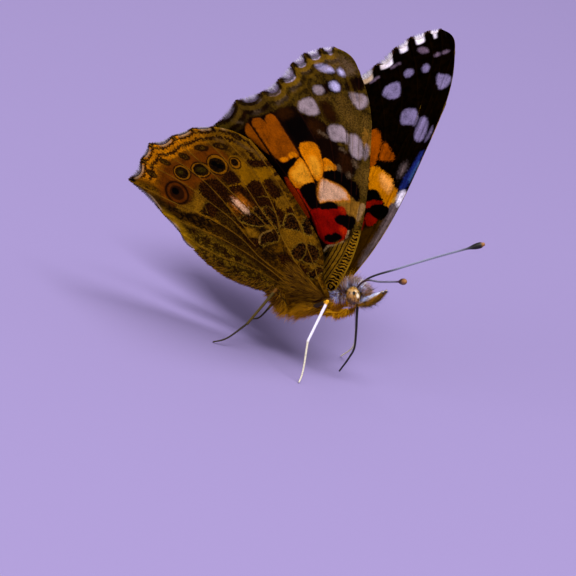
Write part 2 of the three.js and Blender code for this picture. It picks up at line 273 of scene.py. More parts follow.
def joined(meshes, name):
    build = bmesh.new()
    for mesh in meshes:
        build.from_mesh(mesh)
        bpy.data.meshes.remove(mesh)
    return toMesh(name, build)


def knitted(forms, name, voxel):  # one closed skin round all the forms
    rough = bpy.data.objects.new("rough", joined(forms, "rough"))
    bpy.context.scene.collection.objects.link(rough)
    knit = rough.modifiers.new("knit", "REMESH")
    knit.mode = "VOXEL"
    knit.voxel_size = voxel
    sight = bpy.context.evaluated_depsgraph_get()
    mesh = bpy.data.meshes.new_from_object(rough.evaluated_get(sight))
    mesh.name = name
    bpy.data.objects.remove(rough)
    return mesh


def showPiece(name, mesh, nodes=(), paints=()):
    mesh.transform(toWorld)
    for paint in paints:
        mesh.materials.append(paint)
    mesh.polygons.foreach_set("use_smooth", [True] * len(mesh.polygons))
    piece = bpy.data.objects.new(name, mesh)
    bpy.context.scene.collection.objects.link(piece)
    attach(piece, "root")
    if nodes:
        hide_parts(*nodes)
    return piece


# Tufts: each is a thin tapered blade of three sides that bends towards its tip

tuftShape = np.array([
    (-1, 0, 0), (1, 0, 0), (0, 0.5, 0), (-0.8, 0, 0.55), (0.8, 0, 0.55), (0, 0.4, 0.55), (0, 0, 1),
])
tuftFaces = np.array([
    (0, 2, 1), (0, 1, 4), (0, 4, 3), (1, 2, 5), (1, 5, 4), (2, 0, 3), (2, 3, 5),
    (3, 4, 6), (4, 5, 6), (5, 3, 6),
])
tuftCorners = len(tuftShape)
patchSize = 0.003  # of a tuft in the map of the coat


def tufts(name, roots, ahead, outward, length, width, bend, shade, spots):
    count = len(roots)
    across = unit(np.cross(ahead, outward))
    over = np.cross(across, ahead)
    along = tuftShape[None, :, 2:3] * length[:, None, None]
    curl = (tuftShape[:, 2] ** 2)[None, :, None] * (bend * length)[:, None, None]
    side = tuftShape[None, :, 0:1] * width[:, None, None]
    rise = tuftShape[None, :, 1:2] * width[:, None, None]
    shape = roots[:, None] + ahead[:, None] * along + across[:, None] * side + over[:, None] * (rise + curl)
    faces = (tuftFaces[None] + tuftCorners * np.arange(count)[:, None, None]).reshape(-1, 3)
    mesh = bpy.data.meshes.new(name)
    mesh.from_pydata(shape.reshape(-1, 3).tolist(), [], faces.tolist())
    addVectors(mesh, "root", np.repeat(roots, tuftCorners, axis=0))
    addNumbers(mesh, "shade", np.repeat(shade, tuftCorners))
    addNumbers(mesh, "tip", np.tile(tuftShape[:, 2], count))
    patch = np.stack([tuftShape[:, 0], tuftShape[:, 2] * 2 - 1], axis=1) * patchSize / 2
    corners = (spots[:, None] + patch[None])[np.arange(count)[:, None, None], tuftFaces[None]]
    mesh.uv_layers.new(name="OFBake").data.foreach_set("uv", corners.ravel())
    return mesh


def mapSpots(across, along):  # places in the map of a coat, each from 0 to 1, kept off its rim
    return np.stack([across, along], axis=1) * 0.98 + 0.01


def comb(name, chance, roots, outward, lie, length, lift, fit, spots):  # tufts that follow the lie
    count = len(roots)
    lie = lie + chance.normal(0, fit["stray"], lie.shape)
    lie = unit(lie - outward * np.sum(lie * outward, axis=1, keepdims=True))
    ahead = unit(lie + outward * (lift * chance.uniform(0.6, 1.4, count))[:, None])
    length = length * chance.uniform(0.6, 1.2, count)
    width = fit["width"] * chance.uniform(0.7, 1.3, count)
    shade = chance.random(count)
    bristle = chance.random(count) < fit.get("bristles", 0)  # longer, finer and darker than the rest
    length = np.where(bristle, length * 1.6, length)
    width = np.where(bristle, width * 0.5, width)
    shade = np.where(bristle, 0.97, shade)
    return tufts(name, roots - outward * 0.05, ahead, outward, length, width, fit["bend"], shade, spots)


# Wings. Each is drawn flat, by its distance out from the hinge and forward along it.

wingFit = {
    "membrane": 0.1, "vein": 0.26, "crest": (0.05, 0.23), "levels": 10,  # how thick, and how veins fade off
    "bend": 0.6, "bendAt": 27, "spacing": 0.15, "rows": 150, "scallopReach": 6,
    "noseUp": math.radians(4.9), "halfWidth": 1.49,
    "raise": {"right": math.radians(65), "left": math.radians(62.6)},
    "sweep": {"right": math.radians(-12.4), "left": math.radians(-16.4)},
    "slide": {"right": 0, "left": -0.35},
    "hind": {"sweep": math.radians(13), "forward": 0.8, "out": -0.42, "under": 0.95},
}

# Each row is a vein from the root to the margin: how far out it begins to stand
# proud, how deep the margin is cut up to the next row's, and its points.

forewingLines = [
    (None, -0.05, [(-0.6, 0.5), (1, 2.6), (2.5, 4.4), (5, 6.8), (8.6, 9.6), (13.7, 13)]),
    (0, -0.3, [(-0.6, 0.3), (2.6, 3.9), (5.2, 6.2), (8.8, 8.95), (12.8, 11.6), (18, 15.6)]),
    (10, -0.7, [(-0.6, 0.12), (2.7, 3.5), (5.3, 5.75), (8.9, 8.4), (13, 11), (19, 14.6), (24.3, 17.5)]),
    (0, 0.5, [
        (-0.6, -0.05), (2.8, 3.1), (5.4, 5.3), (9.1, 7.9), (13.4, 10.4), (20, 14.3), (24.5, 15.95),
        (27.75, 16.2),
    ]),
    (12, 0.7, [
        (-0.6, -0.2), (2.8, 2.65), (5.5, 4.8), (9.3, 7.4), (13.7, 10), (20.5, 13.4), (24.5, 14.8),
        (28.05, 14.5),
    ]),
    (12, 0.7, [
        (-0.6, -0.35), (2.8, 2.2), (5.6, 4.2), (9.6, 6.8), (14, 9.5), (17.5, 12), (20.5, 12.4),
        (23.4, 12.6), (28, 12.3),
    ]),
    (12.5, 0.9, [
        (-0.6, -0.5), (2.8, 1.75), (5.5, 3.4), (9.5, 5.8), (14, 8.4), (18, 9.9), (22, 10.6), (27.25, 10.2),
    ]),
    (11.8, 0.9, [
        (-0.6, -0.65), (2.8, 1.3), (5.4, 2.65), (9, 4.2), (11.5, 5.5), (13.3, 6.6), (15.5, 7.6), (19, 8),
        (25.85, 7.6),
    ]),
    (9.3, 0.75, [
        (-0.6, -0.8), (2.8, 0.9), (5.3, 1.95), (8.8, 3.15), (11, 4.3), (12.8, 5.1), (16, 5.3), (20, 5),
        (24.95, 4.8),
    ]),
    (0, 0.6, [(-0.6, -0.95), (2.8, 0.5), (5.3, 1.5), (8.6, 2.45), (13.5, 2.25), (18.5, 1.6), (24.8, 1.1)]),
    (0, -0.15, [(-0.6, -1.4), (3, -0.9), (7, -0.9), (12, -1.3), (17.5, -2), (22.8, -2.7)]),
    (None, None, [(-0.6, -1.9), (3, -2.3), (7, -3), (12, -3.7), (17, -4), (21.7, -3.9)]),
]

hindwingLines = [
    (None, -0.05, [
        (-0.6, -0.7), (1.4, -0.85), (2.4, -0.8), (3.3, -0.45), (4.5, -0.1), (6.2, 0.12), (9.5, -0.4),
        (13.5, -1.7), (17, -2.95),
    ]),
    (0, -0.35, [
        (-0.6, -1.0), (2.2, -1.45), (3.4, -1.4), (6.6, -1.65), (10, -1.75), (12.5, -2.2), (16, -3.1),
        (20.3, -4.6),
    ]),
    (0, 0.15, [
        (-0.6, -1.4), (3, -3.1), (6, -4.05), (8.3, -4.4), (10.5, -4.2), (14, -4.65), (17, -5.6),
        (22.1, -8.5),
    ]),
    (7.5, 0.25, [
        (-0.6, -1.9), (3, -3.6), (6, -4.5), (8.5, -4.9), (11.5, -6), (15.5, -7.35), (19.5, -9.3),
        (22, -11.3),
    ]),
    (8, 0.6, [
        (-0.6, -2.4), (3, -4.1), (6, -5.1), (8.6, -5.5), (10, -6.4), (13.3, -8.7), (16.5, -10.8),
        (21.1, -14.1),
    ]),
    (8, 0.3, [
        (-0.6, -2.8), (2.8, -4.9), (5.5, -6.9), (7.5, -8), (9.9, -9.1), (13, -10.6), (15.5, -12.2),
        (18.3, -15), (20.2, -17.4),
    ]),
    (6.5, 0.75, [
        (-0.6, -3.2), (2.6, -5.2), (5.2, -7.3), (7.4, -8.6), (9.8, -9.8), (12.6, -12.3), (14.9, -14.6),
        (18.2, -19.1),
    ]),
    (0, 0.5, [
        (-0.6, -3.6), (2.4, -5.6), (4.9, -7.9), (7.7, -9.7), (10, -12.4), (12.4, -16.6), (15.6, -21.6),
    ]),
    (0, 0.2, [(-0.6, -4), (2.1, -6.1), (4.2, -8), (6, -10), (7.6, -12.2), (9.2, -15.2), (10.9, -18.6)]),
    (0, -0.2, [
        (-0.6, -4.3), (1.5, -6.5), (3.1, -8.6), (4.2, -10.6), (5, -12.6), (6.4, -14.9), (8.2, -17.1),
    ]),
    (None, None, [(-0.6, -4.6), (0.5, -7), (1.2, -10), (2.5, -12.8), (4.2, -14.7), (6.3, -16.2)]),
]
wingLines = {"forewing": forewingLines, "hindwing": hindwingLines}


def wingFrame(kind, name):  # where a flat place lies on the raised wing, with the wing's upper direction
    side = sides[name]
    noseUp, lifted, turn = wingFit["noseUp"], wingFit["raise"][name], wingFit["sweep"][name]
    forward = np.array([math.cos(noseUp), 0, math.sin(noseUp)])
    upright = np.array([-math.sin(noseUp), 0, math.cos(noseUp)])
    outward = np.array([0, side * math.cos(lifted), 0]) + upright * math.sin(lifted)
    upper = np.cross(forward, outward) * side
    root = np.array([0, side * wingFit["halfWidth"], 0]) + forward * wingFit["slide"][name]
    if kind == "hindwing":
        hind = wingFit["hind"]
        turn = turn + hind["sweep"]
        root = root + forward * hind["forward"] + outward * hind["out"] - upper * hind["under"]

    def place(flat, lift=0.0):
        span = flat[..., 0] * math.cos(turn) - flat[..., 1] * math.sin(turn)
        fore = flat[..., 0] * math.sin(turn) + flat[..., 1] * math.cos(turn)
        droop = wingFit["bend"] * (span / wingFit["bendAt"]) ** 2
        ahead = fore[..., None] * forward
        return root + ahead + span[..., None] * outward + (lift - droop)[..., None] * upper

    return place, upper


def segmentDistance(spots, a, b):
    along = b - a
    share = np.clip(((spots - a) @ along) / max(along @ along, 1e-9), 0, 1)
    return np.linalg.norm(spots - a - share[:, None] * along, axis=1)


def lineDistance(spots, line):
    return np.min([segmentDistance(spots, a, b) for a, b in zip(line, line[1:])], axis=0)


def closeDistance(spots, line, reach=1.2):  # to the nearest part of a line, at most the reach
    close = ((spots > line.min(axis=0) - reach) & (spots < line.max(axis=0) + reach)).all(axis=1)
    away = np.full(len(spots), reach)
    away[close] = np.minimum(lineDistance(spots[close], line), reach)
    return away


def streak(halfWidth, *points):  # a band along a line
    line = np.array(points, float)
    return lambda spots: closeDistance(spots, line) - halfWidth


def blob(*points):  # a patch with rounded corners
    ring = np.array(points, float)
    for _ in range(2):
        after = np.roll(ring, -1, axis=0)
        ring = np.stack([ring * 0.75 + after * 0.25, ring * 0.25 + after * 0.75], axis=1).reshape(-1, 2)
    line = np.vstack([ring, ring[:1]])

    def distance(spots):
        inside = np.zeros(len(spots), bool)
        for a, b in zip(line, line[1:]):
            crosses = (a[1] > spots[:, 1]) != (b[1] > spots[:, 1])
            rise = b[1] - a[1] if abs(b[1] - a[1]) > 1e-9 else 1e-9
            inside ^= crosses & (spots[:, 0] < a[0] + (spots[:, 1] - a[1]) * (b[0] - a[0]) / rise)
        away = closeDistance(spots, line)
        return np.where(inside, -away, away)

    return distance


def dot(x, y, width, height=None, turn=0.0):  # an oval spot
    height = height or width
    cos, sin = math.cos(math.radians(turn)), math.sin(math.radians(turn))

    def distance(spots):
        offset = spots - (x, y)
        ahead = (offset[:, 0] * cos + offset[:, 1] * sin) / width
        across = (offset[:, 1] * cos - offset[:, 0] * sin) / height
        return (np.hypot(ahead, across) - 1) * min(width, height)

    return distance


def veinPaths(kind):
    return [smoothPath(points, wingFit["rows"] + 1) for _, _, points in wingLines[kind]]


def wingGrid(kind, paths, share):  # flat places, in columns from the root to the scalloped margin
    columns = []
    for index, (one, two) in enumerate(zip(paths, paths[1:])):
        count = max(4, round(np.linalg.norm(two[-1] - one[-1]) / wingFit["spacing"]))
        chord = two - one
        inward = unit(np.stack([chord[:, 1], -chord[:, 0]], axis=1))
        for step in range(count + (index == len(paths) - 2)):
            f = step / count
            cut = wingLines[kind][index][1] * math.sin(math.pi * f) * share ** wingFit["scallopReach"]
            columns.append(one + chord * f + inward * cut[:, None])
    return np.stack(columns)


def veinDistance(kind, paths, flat):  # to the nearest vein, where it stands proud
    near = np.full(len(flat), 9.0)
    for (rises, _, _), path in zip(wingLines[kind], paths):
        if rises is not None:
            kept = path[path[:, 0] >= rises][::3]
            near = np.minimum(near, lineDistance(flat, np.vstack([kept, path[-1]])))
    return near


markedWings = {}


def markDistances(kind, flat):  # how far each place is from each marking, less than 0 inside it
    if kind not in markedWings:
        markedWings[kind] = {
            face + mark: np.min([shape(flat) for shape in shapes], axis=0)
            for face, layers in wingMarks[kind].items() for mark, shapes in layers.items()
        }
    return markedWings[kind]


def thicken(wing, near):  # a thin membrane, thicker along its veins
    levels = wingFit["levels"]
    crest = 1 - rampUp(near, *wingFit["crest"])
    group = wing.vertex_groups.new(name="veins")
    for level in range(1, levels + 1):
        chosen = np.flatnonzero(np.rint(crest * levels) == level).tolist()
        group.add(chosen, level / levels, "REPLACE")
    shell = wing.modifiers.new("membrane", "SOLIDIFY")
    shell.thickness = wingFit["vein"] * millimetre
    shell.thickness_vertex_group = wingFit["membrane"] / wingFit["vein"]
    shell.vertex_group = "veins"
    shell.offset = 0
    shell.use_even_offset = False
    shell.material_offset = 1
    shell.material_offset_rim = 1


def makeWing(kind, name):
    paths = veinPaths(kind)
    share = np.linspace(0, 1, wingFit["rows"] + 1)
    grid = wingGrid(kind, paths, share)
    columns, rows = grid.shape[:2]
    build = bmesh.new()
    bmesh.ops.create_grid(build, x_segments=columns - 1, y_segments=rows - 1, size=1)
    mesh = toMesh(kind + "_" + name, build)
    cells = (places(mesh)[:, :2] + 1) / 2 * (columns - 1, rows - 1)
    column, row = np.rint(cells).astype(int).T
    flat = grid[column, row]
    place, upper = wingFrame(kind, name)
    movePlaces(mesh, place(flat))
    if Vector(upper).dot(mesh.polygons[len(mesh.polygons) // 2].normal) < 0:
        mesh.flip_normals()
    near = veinDistance(kind, paths, flat)
    addVectors(mesh, "flat", np.c_[flat, share[row]])
    addNumbers(mesh, "vein", near)
    addNumbers(mesh, "edge", lineDistance(flat, grid[::2, -1]))
    addNumbers(mesh, "front", lineDistance(flat, paths[0][::5]))
    for mark, distance in markDistances(kind, flat).items():
        addNumbers(mesh, mark, distance)
    wing = showPiece(kind + "_skin_" + name, mesh, [kind + "_" + name], wingPaints[kind])
    thicken(wing, near)


# Markings, in millimetres out and forward on the flat wing. Later ones lie over earlier ones.

whitePatches = [
    blob(
        (14.1, 12.0), (14.5, 12.6), (15.2, 13.0), (16.2, 13.3), (16.9, 13.3), (17.3, 12.9), (17.4, 12.4),
        (16.6, 11.9), (15.8, 11.4), (15.0, 11.2), (14.3, 11.5),
    ),
    blob((13.8, 12.4), (14.2, 13.0), (14.9, 13.6), (15.7, 13.9), (15.8, 13.6), (15.1, 13.1), (14.3, 12.5)),
    blob(
        (16.2, 11.5), (17.0, 12.1), (18.4, 12.2), (18.9, 11.5), (19.1, 10.7), (18.7, 10.1), (18.1, 9.9),
        (17.3, 9.8), (16.9, 10.3), (16.8, 11.0),
    ),
    blob(
        (19.8, 15.0), (20.0, 16.2), (20.8, 16.8), (21.5, 16.6), (21.9, 15.8), (22.3, 15.1), (21.8, 14.8),
        (20.8, 14.8),
    ),
    blob(
        (20.6, 9.9), (21.0, 10.4), (22.3, 10.55), (22.9, 10.2), (22.95, 9.3), (22.7, 8.4), (22.1, 8.0),
        (21.5, 8.1), (20.8, 8.8),
    ),
]
whiteSpots = [dot(23.35, 13.75, 0.6), dot(23.45, 11.6, 0.6, 0.68)]

foreUnderMarks = {
    "Olive": [
        blob((17.0, 14.4), (17.9, 15.4), (18.9, 15.7), (19.2, 15.0), (18.4, 14.2), (17.2, 13.9)),
        blob(
            (16.9, 13.5), (18.6, 14.4), (20.6, 14.4), (21.9, 14.4), (22.2, 13.4), (21.0, 12.4),
            (18.9, 12.4), (17.7, 12.8),
        ),
        blob((22.2, 10.8), (22.1, 12.8), (22.7, 13.0), (22.9, 12.2), (22.7, 10.9)),
        blob(
            (9.6, 9.9), (10.4, 10.9), (11.6, 12.1), (12.8, 12.7), (13.4, 12.1), (13.2, 11.4), (12.6, 10.6),
            (12.1, 10.1), (11.4, 10.2), (10.4, 10.1),
        ),
    ],
    "Ash": [
        blob(
            (24.1, 16.1), (24.3, 17.3), (26.0, 17.1), (27.0, 15.6), (27.2, 13.6), (27.0, 12.6),
            (26.6, 13.4), (26.2, 14.6), (25.5, 15.6),
        ),
    ],
    "Deep": [
        blob(
            (4.6, 1.3), (4.7, 4.6), (5.6, 5.9), (6.6, 7.2), (7.6, 7.6), (9.2, 8.9), (9.8, 9.6),
            (11.4, 10.1), (12.1, 9.7), (13.0, 11.0), (14.0, 11.8), (15.2, 11.3), (16.7, 10.2), (18.0, 10.0),
            (19.2, 10.5), (20.4, 9.6), (21.2, 8.0), (22.8, 7.8), (22.4, 5.2), (22.8, 2), (22.9, -1),
            (21, -3), (10, -1.8), (5, -1.4),
        ),
        blob((22.4, 15.0), (21.9, 16.6), (22.6, 17.5), (23.9, 17.5), (23.7, 15.9), (23.1, 14.8)),
        blob(
            (22.6, 12.8), (22.5, 14.3), (23.2, 14.9), (24.1, 14.4), (24.2, 13.2), (23.9, 12.4),
            (23.9, 11.0), (23.1, 10.6),
        ),
        blob(
            (22.4, 3.4), (22.6, 5.2), (23.6, 4.8), (24.2, 3.2), (24.2, 0.4), (23.4, -1.6), (22.6, -2.2),
            (22.2, 1.0),
        ),
    ],
    "Night": [
        blob((17.9, 5.3), (18.0, 6.8), (18.6, 8.2), (20.2, 8.6), (21.3, 7.6), (21.4, 6.2), (20.7, 5.2)),
    ],
    "Brown": [
        blob((21.0, 5.2), (21.2, 6.4), (21.6, 7.2), (22.5, 7.0), (22.7, 6.0), (22.3, 5.1)),
        blob((18.0, 8.2), (17.9, 9.4), (19.0, 10.0), (20.2, 9.4), (20.6, 8.2), (19.4, 8.0)),
        blob((19.2, 10.6), (19.0, 11.9), (20.6, 12.2), (22.0, 11.9), (22.1, 10.8), (20.8, 10.4)),
        blob((12.6, 9.4), (13.4, 10.4), (14.4, 11.0), (15.6, 10.6), (15.4, 9.6), (14.0, 9.0)),
    ],
    "Ochre": [
        blob(
            (6.4, 7.3), (7.2, 8.1), (8.6, 9.7), (9.0, 9.3), (9.2, 8.7), (10.1, 8.5), (10.6, 7.8),
            (10.5, 7.0), (9.9, 6.2), (9.2, 6.4), (8.3, 6.6), (7.9, 7.1), (7.4, 7.6),
        ),
        blob((13.9, 13.3), (15.0, 14.1), (16.6, 14.8), (17.6, 14.6), (16.9, 13.7), (15.4, 13.2)),
    ],
    "Red": [
        blob(
            (5.1, 2.2), (4.9, 3.4), (5.0, 4.6), (5.7, 5.5), (6.25, 6.0), (6.9, 6.1), (7.8, 6.4), (8.3, 6.9),
            (9.1, 6.9), (9.3, 6.3), (9.3, 5.0), (9.5, 4.2), (10.1, 3.9), (10.2, 2.9), (9.0, 2.4),
            (7.4, 2.1), (6.2, 2.0),
        ),
        streak(0.05, (9.6, 2.55), (12.9, 2.5)),
    ],
    "Ember": [
        blob((5.3, 4.9), (5.8, 5.5), (6.5, 5.9), (7.0, 5.4), (6.6, 4.9), (5.9, 4.8)),
        blob((8.1, 6.3), (8.4, 6.9), (9.1, 6.9), (9.2, 6.4), (8.7, 6.1)),
        streak(0.05, (9.9, 2.62), (12.9, 2.6)),
    ],
    "Flame": [blob((8.4, 1.8), (9.2, 2.3), (13, 2.3), (14.4, 2.2), (14.4, 1.45), (9.2, 1.45))],
    "Dull": [
        blob(
            (16.3, 5.05), (18, 5.0), (20, 4.9), (22.3, 4.8), (22.2, 3.4), (20.9, 3.2), (22.2, 3.0),
            (22.3, 1.4), (20, 1.6), (18, 1.8), (16.8, 2.0), (16.0, 2.4), (16.1, 3.2), (16.5, 3.8),
            (16.2, 4.4),
        ),
        blob(
            (17.3, 1.5), (18.5, 1.45), (20, 1.3), (22.2, 1.1), (21.4, 0.3), (20.6, 0.0), (19.5, 0.4),
            (18.2, 1.0),
        ),
    ],
    "Orange": [
        blob(
            (13.4, 7.5), (13.6, 8.5), (14.1, 8.8), (14.5, 8.5), (15.1, 8.3), (15.5, 7.6), (14.8, 7.2),
            (14.0, 6.8),
        ),
        blob(
            (12.8, 5.3), (13.1, 6.1), (13.8, 6.8), (14.8, 7.3), (16, 7.7), (17.3, 7.9), (17.8, 7.2),
            (17.9, 6.6), (17.9, 5.9), (17.5, 5.5), (16.5, 5.35), (14, 5.3),
        ),
        blob(
            (12.6, 4.5), (12.8, 5.15), (14.4, 5.15), (16.1, 5.2), (16.2, 4.7), (15.7, 4.0), (15.4, 3.4),
            (15.1, 2.7), (14.3, 2.2), (13.2, 2.3), (12.5, 2.7), (12.8, 3.5),
        ),
        dot(16.7, 4.2, 0.45, 0.6), dot(16.5, 2.9, 0.3, 0.5),
    ],
    "Yellow": [
        blob(
            (12.9, 3.4), (13.0, 5.0), (15.7, 5.0), (15.6, 4.4), (15.1, 3.6), (14.9, 3.0), (14.2, 2.6),
            (13.3, 2.8),
        ),
        blob((13.3, 5.5), (13.5, 6.2), (14.3, 6.8), (15.6, 7.0), (16.2, 6.4), (15.6, 5.7), (14.4, 5.4)),
        dot(14.0, 7.7, 0.3, 0.4),
    ],
    "Cream": [
        blob(
            (9.3, 8.0), (10.6, 8.4), (11.7, 7.9), (12.3, 7.2), (12.9, 6.6), (13.3, 6.3), (12.9, 5.6),
            (12.2, 5.1), (11.4, 4.5), (10.7, 4.2), (10.2, 4.2), (10.1, 5.2), (9.9, 6.2), (9.7, 6.9),
            (9.8, 7.5),
        ),
    ],
    "Bar": [blob((6.8, 7.7), (7.6, 8.6), (8.5, 9.7), (9.0, 9.3), (8.7, 8.8), (7.9, 8.1), (7.1, 7.5))],
    "Edging": [
        streak(0.08, (5.3, 5.1), (5.7, 5.6), (6.2, 6.0)),
        streak(0.1, (4.4, 1.6), (4.9, 2.4), (4.75, 3.5), (4.95, 4.6)),
    ],
    "Black": [
        blob(
            (5.0, 3.7), (5.3, 4.4), (5.6, 4.8), (6.0, 4.5), (6.4, 4.2), (6.1, 3.6), (6.4, 3.1), (6.1, 2.5),
            (5.6, 2.4), (5.2, 2.9),
        ),
        blob(
            (6.0, 6.2), (6.5, 7.0), (7.0, 7.45), (7.6, 7.5), (7.8, 7.0), (8.0, 6.5), (8.3, 6.0),
            (8.25, 5.4), (7.9, 4.9), (7.3, 4.9), (6.9, 5.5), (6.3, 5.8),
        ),
        blob(
            (9.0, 6.3), (9.6, 6.1), (10.1, 5.8), (10.2, 5.0), (10.1, 4.2), (9.5, 3.9), (9.3, 4.4),
            (9.2, 5.2),
        ),
        blob(
            (9.6, 4.1), (10.6, 4.3), (11.5, 4.4), (12.3, 4.9), (12.9, 5.1), (13.0, 4.4), (12.9, 3.5),
            (12.6, 2.8), (12.0, 2.6), (10.5, 2.7), (9.6, 2.8), (9.8, 3.5),
        ),
        blob(
            (9.1, 8.7), (9.6, 9.3), (10.5, 9.9), (11.5, 10.0), (11.9, 9.5), (12.2, 9.1), (13.4, 9.1),
            (13.6, 8.4), (13.9, 7.2), (13.7, 6.6), (13.1, 6.4), (12.6, 7.1), (11.9, 7.9), (11.2, 8.3),
            (10.2, 8.6),
        ),
        dot(3.95, 1.95, 0.62, 0.34, 70), dot(8.7, 1.85, 0.12, 0.25),
        blob(
            (14.6, 2.1), (15.3, 2.9), (15.7, 3.8), (16.3, 4.6), (16.5, 4.2), (16.1, 3.2), (16.1, 2.4),
            (17.2, 1.9), (15, 1.6),
        ),
    ],
    "Smoke": [
        dot(12.6, 9.6, 0.3), dot(13.7, 11.1, 0.42, 0.26), dot(13.8, 8.85, 0.3, 0.2),
        streak(0.14, (15.5, 10.7), (15.9, 10.4)), streak(0.12, (17.8, 9.6), (18.6, 8.9)),
        streak(0.2, (24.3, 8.5), (24.9, 9.8)), streak(0.2, (23.2, 5.9), (23.7, 7.3)),
        dot(22.9, 2.8, 0.2, 0.4), streak(0.14, (22.2, 0.3), (22.6, -0.7)),
        streak(0.2, (24.4, 16.0), (24.7, 16.9)), dot(26.1, 11.2, 0.3, 0.5),
    ],
    "White": whitePatches + whiteSpots[1:],
    "Spark": whiteSpots[:1] + [
        blob(
            (25.0, 14.5), (25.3, 14.8), (25.8, 14.4), (26.5, 13.5), (26.6, 12.9), (26.1, 12.8),
            (25.6, 13.1), (25.2, 13.8),
        ),
        dot(24.75, 15.45, 0.42, 0.34),
    ],
}

foreUpperMarks = {
    "Warm": [
        blob((-1, 1), (3, 4.8), (5.2, 6.6), (6.4, 6.8), (5.8, 4.8), (5.4, 2.0), (5.4, -1.2), (-1, -2)),
    ],
    # Painted sheen along the front edge: the lavender band is grey-lilac basal hair with painted sheen, and
    # the blue and sky streaks are painted iridescent sheen
    "LavenderSheen": [
        blob(
            (1.0, 2.4), (3.0, 4.9), (5.4, 7.2), (7.0, 8.4), (8.1, 8.1), (7.6, 7.4), (6.4, 6.9), (4.6, 5.6),
            (2.4, 3.3),
        ),
        dot(11.4, 9.4, 0.6, 0.35, 40),
    ],
    "Blue": [
        blob(
            (8.6, 8.8), (8.9, 9.4), (9.6, 10.0), (10.4, 10.6), (11.4, 11.3), (12.6, 12.1), (13.2, 12.3),
            (12.4, 11.4), (11.2, 10.3), (10.2, 9.4), (9.3, 8.7),
        ),
    ],
    "Sky": [blob((9.4, 9.9), (10.4, 10.7), (11.6, 11.5), (12.0, 11.6), (11.0, 10.8), (10.0, 10.0))],
    "Orange": [
        blob(
            (7.2, 6.9), (7.8, 7.7), (8.4, 8.2), (9.3, 8.5), (9.7, 8.0), (10.5, 8.1), (11.3, 7.7),
            (12.1, 7.0), (13.0, 6.2), (13.3, 5.6), (12.4, 5.3), (11.4, 5.1), (10.4, 4.9), (10.2, 5.4),
            (9.9, 6.0), (9.2, 6.3), (8.4, 6.5),
        ),
    ],
    "Tawny": [
        blob(
            (5.8, -1.6), (7.2, 0.8), (9.0, 2.3), (12.6, 2.5), (14.2, 2.2), (18.4, 1.7), (22, 1.2),
            (22.0, -0.6), (21.2, -2.6), (18.8, -3.5), (12.4, -3.5), (7.6, -2.9),
        ),
    ],
    # Painted highlight on the orange patch
    "PeachHighlight": [
        blob((9.0, 7.2), (9.4, 7.9), (10.4, 7.9), (11.2, 7.4), (11.9, 6.7), (11.2, 6.5), (10.2, 6.7)),
    ],
    "Rust": [
        blob(
            (12.9, 8.6), (13.7, 8.6), (14.9, 8.0), (15.8, 7.6), (15.1, 7.1), (14.2, 6.7), (13.6, 6.7),
            (13.2, 7.5),
        ),
        blob(
            (12.8, 5.8), (13.8, 6.5), (15.0, 7.05), (16.1, 7.3), (17.2, 7.2), (17.8, 6.6), (17.6, 6.1),
            (16.9, 5.9), (15.4, 5.7), (13.4, 5.4),
        ),
        blob(
            (12.6, 3.4), (13.0, 5.1), (16.2, 5.15), (20, 4.8), (22.0, 4.6), (22.0, 1.5), (18, 1.7),
            (14.4, 2.0),
        ),
    ],
    "Red": [
        blob((5.6, 4.5), (5.9, 5.4), (6.3, 5.6), (7.1, 5.0), (7.5, 4.5), (7.1, 4.1), (6.2, 4.0)),
        blob(
            (7.9, 6.3), (8.3, 6.6), (8.6, 6.0), (8.9, 5.3), (8.9, 4.6), (8.4, 4.2), (8.0, 4.6), (8.25, 5.3),
        ),
        blob(
            (5.0, 2.2), (5.4, 3.6), (7.2, 4.0), (8.9, 4.2), (9.8, 3.5), (8.6, 2.3), (7.2, 1.6), (6.0, 1.4),
        ),
    ],
    "Black": [
        blob(
            (5.9, 6.0), (6.5, 7.0), (7.2, 7.2), (7.6, 6.7), (8.0, 6.2), (8.2, 5.5), (8.1, 4.8), (7.1, 4.8),
            (6.4, 5.5),
        ),
        blob(
            (8.4, 6.2), (9.2, 6.2), (9.9, 6.0), (10.2, 5.4), (10.1, 4.8), (9.4, 4.5), (8.9, 4.7),
            (9.0, 5.4),
        ),
        blob((9.8, 4.2), (11.4, 4.4), (12.8, 5.0), (12.8, 3.6), (12.0, 2.7), (10.5, 2.75), (9.7, 2.9)),
        blob((9.9, 2.9), (12.6, 2.8), (14.4, 2.2), (14.9, 0.7), (13.4, -0.2), (11.0, 0.1), (9.6, 1.2)),
        blob((13.2, -1.4), (15.4, -1.2), (16.2, -2.4), (14.4, -3.0), (12.8, -2.4)),
    ],
    "Cream": [blob((7.7, 8.2), (8.2, 8.6), (8.6, 8.5), (8.4, 8.0), (8.0, 7.6), (7.6, 7.7))],
    # Painted highlight, white with blue edges, beside the painted sheen
    "WhiteHighlight": [blob((6.9, 8.3), (7.6, 9.0), (8.2, 9.6), (8.7, 9.4), (8.8, 8.7), (8.3, 8.3), (7.5, 8.1))],
    "White": whitePatches + whiteSpots,
    "Lilac": [
        blob((25.2, 14.3), (25.7, 14.4), (26.4, 13.5), (26.2, 12.9), (25.5, 13.3)),
        dot(24.6, 15.4, 0.22, 0.35), dot(24.6, 16.4, 0.2, 0.4), streak(0.14, (24.9, 9.6), (25.1, 10.6)),
        streak(0.14, (23.9, 6.8), (24.2, 7.8)),
    ],
}

